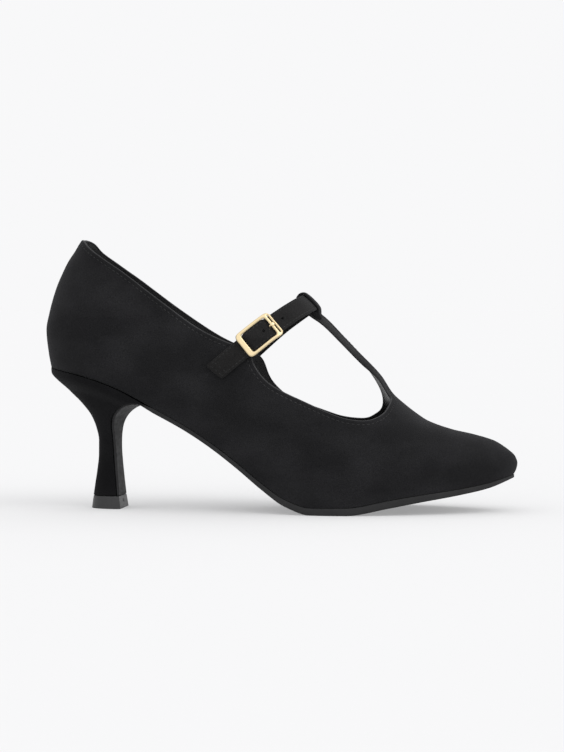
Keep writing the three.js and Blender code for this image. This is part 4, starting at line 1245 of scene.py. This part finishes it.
# Stations from 0 to 1 that lie closer together towards both ends
def eased(count):
    return (1 - np.cos(np.linspace(0, math.pi, count))) / 2


# One closed ring: the outer side, a straight breast and the inner side
def closed_ring(outer, inner, columns):
    breast = np.linspace(outer[-1], inner[-1], columns)[1:-1]
    return np.vstack([outer, breast, inner[:0:-1]])


def heel_profile(r):
    return (1 - (1 - r) ** HEEL_FOOT_FULLNESS) ** (1 / HEEL_FOOT_FULLNESS)


# Level outline of the heel: back, outer side, breast and inner side
def heel_ring(level, shrink=0.0, lift=0.0):
    foot = TOP_PIECE_HEIGHT + GAP
    value = {c: float(value_at(HEEL_LEVELS, c, level, "level")) for c in ("back", "front", "half")}
    back, front = value["back"] * HEEL_REACH + shrink, value["front"] * HEEL_REACH - shrink
    half = value["half"] * SEAT_WIDTH / 2 - shrink
    share = float(smoothstep(level, SEAT_BLEND, 1))
    r = eased(HEEL_COLUMNS)
    x = back + (front - back) * r
    z = foot + level * (sole_top(x / LENGTH) - foot) + lift
    along = np.maximum(0, x / LENGTH - 0.01 * (1 - r))
    sides = []
    for side in (-1, 1):
        seat = half_width(along, side, False) + HEEL_RIM - shrink
        y = side * ((1 - share) * half * heel_profile(r) + share * seat)
        y[0] = 0.0
        sides.append(np.stack([x, y, z], axis=-1))
    outer, inner = sides
    outer[:, 0] -= cove_setback(outer[:, 2]) * r ** 2
    return closed_ring(outer, inner, BREAST_COLUMNS)


def make_heel(suede):
    rings = [heel_ring(0.0, *step) for step in HEEL_FOOT_ROUND]
    rings.append(heel_ring(0.0, 0.0, HEEL_FOOT_LIFT))
    rings += [heel_ring(level) for level in np.linspace(0, 1, HEEL_ROWS)[1:]]
    rings += [heel_ring(1.0, *step) for step in HEEL_SEAT_ROUND]
    piece = loft("heel_cover", rings, [suede], sharp=HEEL_SHARP_ANGLE)
    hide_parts("heel")


# A faint upright crease on the outer side of the top piece: depth, place and breadth
LIFT_CREASE = (0.16, 34.2, 0.5)

# A small nick in its front face: place across, height, depth and size
NICK_ACROSS = 0.3
NICK_HEIGHT = 3.8
NICK_DEPTH = 0.7
NICK_SIZE = 0.8

# Inset and height of the rings that round the top piece off at the floor and under the heel
LIFT_FLOOR_ROUND = ((0.5, 0.0), (0.25, 0.06), (0.06, 0.25))
LIFT_TOP_ROUND = ((0.02, 0.2), (0.15, 0.05), (0.4, 0.0))
LIFT_SPAN = (0.5, 0.4)
LIFT_ROWS = 14
LIFT_COLUMNS = 60
LIFT_BREAST_COLUMNS = 42


# Level outline of the top piece at one height
def lift_ring(spread, z):
    half = HEEL_LEVELS["half"][0] * SEAT_WIDTH / 2
    back = HEEL_LEVELS["back"][0] * HEEL_REACH
    front = HEEL_LEVELS["front"][0] * HEEL_REACH + GAP + FLAP_THICKNESS
    r = eased(LIFT_COLUMNS)
    x = back - spread + (front - back + 2 * spread) * r
    y = (half + spread) * heel_profile(r)
    level = np.full(len(r), z)
    outer = np.stack([x, crease(x, *LIFT_CREASE) - y, level], axis=-1)
    ring = closed_ring(outer, np.stack([x, y, level], axis=-1), LIFT_BREAST_COLUMNS)
    breast = ring[LIFT_COLUMNS:1 - LIFT_COLUMNS]
    from_nick = np.hypot(breast[:, 1] - NICK_ACROSS, z - NICK_HEIGHT)
    breast[:, 0] -= crease(from_nick, NICK_DEPTH, 0, NICK_SIZE)
    return ring


def make_top_piece(rubber):
    high, flare = TOP_PIECE_HEIGHT, TOP_PIECE_FLARE
    rings = [lift_ring(flare - inset, z) for inset, z in LIFT_FLOOR_ROUND]
    for z in np.linspace(LIFT_SPAN[0], high - LIFT_SPAN[1], LIFT_ROWS):
        rings.append(lift_ring(flare * (1 - z / high), z))
    rings += [lift_ring(-inset, high - below) for inset, below in LIFT_TOP_ROUND]
    piece = loft("top_lift", rings, [rubber], sharp=HEEL_SHARP_ANGLE)
    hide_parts("top_piece")


# Stitches

STITCH_PITCH = 2.5
STRAP_STITCH_PITCH = 2.2
STITCH_LENGTH = 1.8
STITCH_BEND = 0.14
STITCH_SINK = 0.06
STITCH_LOOK = 0.5
THREAD = 0.24
THREAD_BLOCK = (STITCH_LENGTH / 2, THREAD, THREAD * 0.85)
THREAD_FULLNESS = 2.4
THREAD_RINGS = 7
THREAD_AROUND = 8


# Short lengths of thread along a line of points, lying on the surface
def stitch_row(points, normals, pitch=STITCH_PITCH, lift=0.0):
    run = line_lengths(points)
    count = int(run[-1] / pitch)
    middles = (np.arange(count) + 0.5) * run[-1] / count
    shape, shape_faces = rounded_block(THREAD_BLOCK, THREAD_FULLNESS, THREAD_RINGS, THREAD_AROUND)
    all_points, all_faces = [], []
    for i, place in enumerate(middles):
        at = point_along(points, np.array([place]))[0]
        ahead = point_along(points, np.array([min(place + STITCH_LOOK, run[-1])]))[0]
        behind = point_along(points, np.array([max(place - STITCH_LOOK, 0.0)]))[0]
        normal = unit(np.array([np.interp(place, run, normals[:, k]) for k in range(3)]))
        way = unit(ahead - behind)
        beside = unit(np.cross(normal, way))
        bend = -STITCH_BEND * (shape[:, 0] / (STITCH_LENGTH / 2)) ** 2
        height = shape[:, 2] + bend + lift
        all_points.append(at + shape[:, :1] * way + shape[:, 1:2] * beside + height[:, None] * normal)
        all_faces.append(shape_faces + i * len(shape))
    return np.vstack(all_points), np.vstack(all_faces)


def joined_rows(name, rows, material):
    points, faces, start = [], [], 0
    for row_points, row_faces in rows:
        points.append(row_points)
        faces.append(row_faces + start)
        start += len(row_points)
    return mesh_piece(name, np.vstack(points), np.vstack(faces), [material])


# The edge row leaves out crowded points and stops short of the back seam
STITCH_MIN_STEP = 0.25
STITCH_FROM_SEAM = 4
STITCH_FROM_BACK = 3


def make_edge_stitches(edges, thread):
    rows = []
    for side in (-1, 1):
        sheet = edges[side]
        shift = edge_frame(sheet, side)[4]
        line = np.clip(sheet + shift * STITCH_DEPTH, 0, SHEET)
        point = sheet_point(line, side)
        normal = last_normal(*sheet_to_last(line), side)
        step = np.linalg.norm(np.diff(point, axis=0), axis=1)
        keep = np.concatenate([[True], step > STITCH_MIN_STEP])
        keep &= (sheet[:, 0] > STITCH_FROM_SEAM) & (point[:, 0] > STITCH_FROM_BACK)
        rows.append(stitch_row(point[keep], normal[keep], lift=-STITCH_SINK))
    joined_rows("edge_stitches", rows, thread)


# Where the strap's rows start and stop, and the second row across its tail
ROW_START = 1.5
ROW_END = 1.6
ROW_STEP = 0.8
ACROSS_POINTS = 24
TAIL_ROWS = ((0.0, 0.0), (2.6, 0.1))


def make_strap_stitches(thread):
    half = STRAP_WIDTH / 2 - STRAP_EDGE_STITCH
    height = float(strap_top(np.array([STRAP_EDGE_STITCH]))[0])
    rows = []
    end = STRAP_OUTSIDE - ROW_END
    for side in (-1, 1):
        d = np.arange(-STRAP_INSIDE + ROW_START, end, ROW_STEP)
        line = buckled_point(d, side * half, height)
        rows.append(stitch_row(line, unit(on_path(2, d)), STRAP_STITCH_PITCH))
    for back, lift in TAIL_ROWS:
        across = np.linspace(-half, half, ACROSS_POINTS)
        d = end - back - STRAP_SLANT * across / STRAP_WIDTH
        line = strap_point(d, across, height + lift)
        rows.append(stitch_row(line, unit(on_path(2, d)), STRAP_STITCH_PITCH))
    joined_rows("strap_stitches", rows, thread)


# Materials

def new_material(name, base, roughness, metallic=0.0, specular=0.5):
    material = bpy.data.materials.new(name)
    material.use_nodes = True
    nodes, links = material.node_tree.nodes, material.node_tree.links
    shader = nodes["Principled BSDF"]
    shader.inputs["Base Color"].default_value = (*base, 1)
    shader.inputs["Roughness"].default_value = roughness
    shader.inputs["Metallic"].default_value = metallic
    shader.inputs["Specular IOR Level"].default_value = specular
    material.diffuse_color = (*base, 1)
    return material, nodes, links, shader


def noise_node(nodes, links, scale, detail=4, stretch=(1, 1, 1)):
    place = nodes.new("ShaderNodeTexCoord")
    mapping = nodes.new("ShaderNodeMapping")
    mapping.inputs["Scale"].default_value = stretch
    noise = nodes.new("ShaderNodeTexNoise")
    noise.inputs["Scale"].default_value = scale
    noise.inputs["Detail"].default_value = detail
    links.new(place.outputs["Object"], mapping.inputs["Vector"])
    links.new(mapping.outputs["Vector"], noise.inputs["Vector"])
    return noise


# A noise turned into a colour between two stops of place and colour
def ramp_color(nodes, links, source, *stops):
    ramp = nodes.new("ShaderNodeValToRGB")
    for element, (place, color) in zip(ramp.color_ramp.elements, stops):
        element.position = place
        element.color = (*color, 1)
    links.new(source.outputs["Fac"], ramp.inputs["Fac"])
    return ramp.outputs["Color"]


# Places of the sockets of a mix node that mixes colours
MIX_FACTOR = 0
MIX_A = 6
MIX_B = 7
MIX_RESULT = 2


def multiplied(nodes, links, a, b):
    mix = nodes.new("ShaderNodeMix")
    mix.data_type = "RGBA"
    mix.blend_type = "MULTIPLY"
    mix.inputs[MIX_FACTOR].default_value = 1.0
    links.new(a, mix.inputs[MIX_A])
    links.new(b, mix.inputs[MIX_B])
    return mix.outputs[MIX_RESULT]


def add_bump(nodes, links, shader, height, strength, distance, below=None):
    bump = nodes.new("ShaderNodeBump")
    bump.inputs["Strength"].default_value = strength
    bump.inputs["Distance"].default_value = distance
    links.new(height, bump.inputs["Height"])
    if below is not None:
        links.new(below.outputs["Normal"], bump.inputs["Normal"])
    links.new(bump.outputs["Normal"], shader.inputs["Normal"])
    return bump


PATCH_SCALE = 38
PATCH_STRETCH = (1, 1, 1.6)
FIBRE_SCALE = 2600
FIBRE_DARK = (0.55, 0.55, 0.56)
FIBRE_LIGHT = (1.45, 1.44, 1.42)
CLUMP_SCALE = 420
SUEDE_DETAIL = 3
NAP_TINT = (0.75, 0.76, 0.8, 1)


# Black suede: brushed patches, fine fibre colour and a short nap
def make_suede(name, dark, light, sheen=0.09):
    material, nodes, links, shader = new_material(name, dark, 0.95, specular=0.12)
    patches = noise_node(nodes, links, PATCH_SCALE, SUEDE_DETAIL, PATCH_STRETCH)
    brushed = ramp_color(nodes, links, patches, (0.38, dark), (0.68, light))
    fibre = noise_node(nodes, links, FIBRE_SCALE, SUEDE_DETAIL)
    grain = ramp_color(nodes, links, fibre, (0.3, FIBRE_DARK), (0.72, FIBRE_LIGHT))
    links.new(multiplied(nodes, links, brushed, grain), shader.inputs["Base Color"])
    shader.inputs["Sheen Weight"].default_value = sheen
    shader.inputs["Sheen Roughness"].default_value = 0.45
    shader.inputs["Sheen Tint"].default_value = NAP_TINT
    clump = noise_node(nodes, links, CLUMP_SCALE, SUEDE_DETAIL)
    soft = add_bump(nodes, links, shader, clump.outputs["Fac"], 0.35, 0.0003)
    add_bump(nodes, links, shader, fibre.outputs["Fac"], 0.5, 0.00012, soft)
    return material


# Grey level that a roughness takes in its ramp
def level(value):
    return (min(1, value),) * 3


LEATHER_TONE_SCALE = 60
SCUFF_SCALE = 240
SCUFF_STRETCH = (1, 1, 3)
SCUFF_GAIN = 0.18


# Smooth leather with a fine pebble and a few soft scuffs
def make_leather(name, base, light, roughness, pebble=900, coat=0.0, specular=0.4):
    material, nodes, links, shader = new_material(name, base, roughness, specular=specular)
    tone = noise_node(nodes, links, LEATHER_TONE_SCALE)
    links.new(ramp_color(nodes, links, tone, (0.35, base), (0.7, light)), shader.inputs["Base Color"])
    scuff = noise_node(nodes, links, SCUFF_SCALE, 5, SCUFF_STRETCH)
    gloss = ramp_color(nodes, links, scuff, (0.35, level(roughness)), (0.75, level(roughness + SCUFF_GAIN)))
    links.new(gloss, shader.inputs["Roughness"])
    shader.inputs["Coat Weight"].default_value = coat
    shader.inputs["Coat Roughness"].default_value = 0.25
    grain = nodes.new("ShaderNodeTexVoronoi")
    grain.inputs["Scale"].default_value = pebble
    place = nodes.new("ShaderNodeTexCoord")
    links.new(place.outputs["Object"], grain.inputs["Vector"])
    add_bump(nodes, links, shader, grain.outputs["Distance"], 0.25, 0.00008)
    return material


METAL_TONE_SCALE = 500
METAL_GAIN = 0.08
BRUSH_SCALE = 1500
BRUSH_STRETCH = (1, 1, 6)


# Plated metal with a slightly uneven polish
def make_metal(name, base, roughness):
    material, nodes, links, shader = new_material(name, base, roughness, metallic=1.0)
    tone = noise_node(nodes, links, METAL_TONE_SCALE, 2)
    gloss = ramp_color(nodes, links, tone, (0.4, level(roughness)), (0.7, level(roughness + METAL_GAIN)))
    links.new(gloss, shader.inputs["Roughness"])
    fine = noise_node(nodes, links, BRUSH_SCALE, 2, BRUSH_STRETCH)
    add_bump(nodes, links, shader, fine.outputs["Fac"], 0.05, 0.00003)
    return material


# Floor, light and camera

PHOTO_SIZE = (564, 752)
CAMERA_AZIMUTH = math.radians(7.5)
CAMERA_ELEVATION = math.radians(1.6)
CAMERA_DISTANCE = 1250.0
PIXEL = 0.502
CAMERA_TARGET = np.array([119.8, 0.0, 67.0])
SENSOR = 36


def make_camera():
    data = bpy.data.cameras.new("camera")
    camera = bpy.data.objects.new("camera", data)
    bpy.context.scene.collection.objects.link(camera)
    a, e = CAMERA_AZIMUTH, CAMERA_ELEVATION
    back = Vector((math.sin(a) * math.cos(e), -math.cos(a) * math.cos(e), math.sin(e)))
    camera.location = Vector(row_metres(CAMERA_TARGET)) + back * CAMERA_DISTANCE * MM
    camera.rotation_mode = "QUATERNION"
    camera.rotation_quaternion = (-back).to_track_quat("-Z", "Y")
    data.sensor_width = SENSOR
    data.lens = SENSOR * CAMERA_DISTANCE / (max(PHOTO_SIZE) * PIXEL)
    data.clip_start, data.clip_end = 0.01, 120
    bpy.context.scene.camera = camera


# The floor glows a little and its tone makes up the rest of the backdrop's
BACKDROP = (0.939, 0.939, 0.947)
FLOOR_REACH = 60.0
FLOOR_GLOW = 0.33
FLOOR_TONE = (0.5244, 0.5244, 0.5256)
FLOOR_UNEVENNESS = 1.004


# A soft sun: the way its light travels, its strength and its size in degrees
def sun_light(name, travel, strength, angle):
    data = bpy.data.lights.new(name, "SUN")
    data.energy = strength
    data.angle = math.radians(angle)
    light = bpy.data.objects.new(name, data)
    bpy.context.scene.collection.objects.link(light)
    light.rotation_mode = "QUATERNION"
    light.rotation_quaternion = Vector(travel).to_track_quat("-Z", "Y")


# A wide pale floor that has the backdrop's own tone wherever nothing shades it
def make_studio():
    material, nodes, links, shader = new_material("studio_floor", FLOOR_TONE, 1.0, specular=0.0)
    tone = noise_node(nodes, links, 3, 2)
    light_tone = tuple(value * FLOOR_UNEVENNESS for value in FLOOR_TONE)
    color = ramp_color(nodes, links, tone, (0.3, FLOOR_TONE), (0.7, light_tone))
    links.new(color, shader.inputs["Base Color"])
    shader.inputs["Emission Color"].default_value = (*BACKDROP, 1)
    shader.inputs["Emission Strength"].default_value = FLOOR_GLOW
    mesh = bpy.data.meshes.new("floor")
    r = FLOOR_REACH
    mesh.from_pydata([(-r, -r, 0), (r, -r, 0), (r, r, 0), (-r, r, 0)], [], [(0, 1, 2, 3)])
    mesh.materials.append(material)
    floor = bpy.data.objects.new("floor", mesh)
    bpy.context.scene.collection.objects.link(floor)

    world = bpy.data.worlds.new("studio")
    world.use_nodes = True
    background = world.node_tree.nodes["Background"]
    background.inputs["Color"].default_value = (*BACKDROP, 1)
    background.inputs["Strength"].default_value = 1.0
    bpy.context.scene.world = world
    sun_light("sun_right", (-0.75, 0.35, -0.7), 0.9, 50)
    sun_light("sun_front", (0.2, 0.8, -0.75), 0.35, 70)
    scene = bpy.context.scene
    scene.view_settings.view_transform = "Standard"
    scene.view_settings.look = "None"
    scene.view_settings.exposure = 0
    scene.view_settings.gamma = 1


make_studio()
make_camera()


# Build

suede = make_suede("black_suede", (0.0092, 0.0092, 0.01), (0.0155, 0.0155, 0.0167), sheen=0.035)
# A darker copy of the black suede for the heel cover: painted shade for the lesser light that reaches the
# heel
heel_shaded_suede = make_suede("heel_shaded_suede", (0.0042, 0.0042, 0.0047), (0.007, 0.007, 0.0077), sheen=0.02)
# A lighter copy of the black suede for the rim of the upper: a painted highlight along its folded top edge
rim_highlight_suede = make_suede("folded_edge_painted_highlight", (0.03, 0.03, 0.031), (0.05, 0.05, 0.051))
strap_suede = make_suede("strap_suede", (0.0115, 0.0112, 0.0112), (0.0185, 0.018, 0.018), sheen=0.08)
lining_leather = make_leather("lining_leather", (0.012, 0.012, 0.0125), (0.018, 0.018, 0.0185),
                              roughness=0.45, coat=0.35)
sole_leather = make_leather("sole_leather", (0.016, 0.016, 0.0165), (0.026, 0.026, 0.027),
                            roughness=0.6, pebble=700, specular=0.16)
edge_ink = make_leather("edge_ink", (0.0155, 0.0155, 0.016), (0.0222, 0.0222, 0.023),
                        roughness=0.6, specular=0.22)
heel_rubber = make_leather("heel_rubber", (0.0175, 0.0175, 0.0185), (0.024, 0.024, 0.025),
                           roughness=0.5, pebble=1400, coat=0.15)
thread = make_suede("black_thread", (0.025, 0.025, 0.026), (0.042, 0.042, 0.043), sheen=0.05)
pale_gold = make_metal("pale_gold", (0.76, 0.62, 0.38), 0.2)
edges = make_upper(suede, rim_highlight_suede, lining_leather)
make_edge_stitches(edges, thread)
make_strap(strap_suede)
make_strap_stitches(thread)
make_loop(suede)
make_buckle(pale_gold)
make_outsole(sole_leather, edge_ink)
make_sock(lining_leather)
make_heel(heel_shaded_suede)
make_top_piece(heel_rubber)
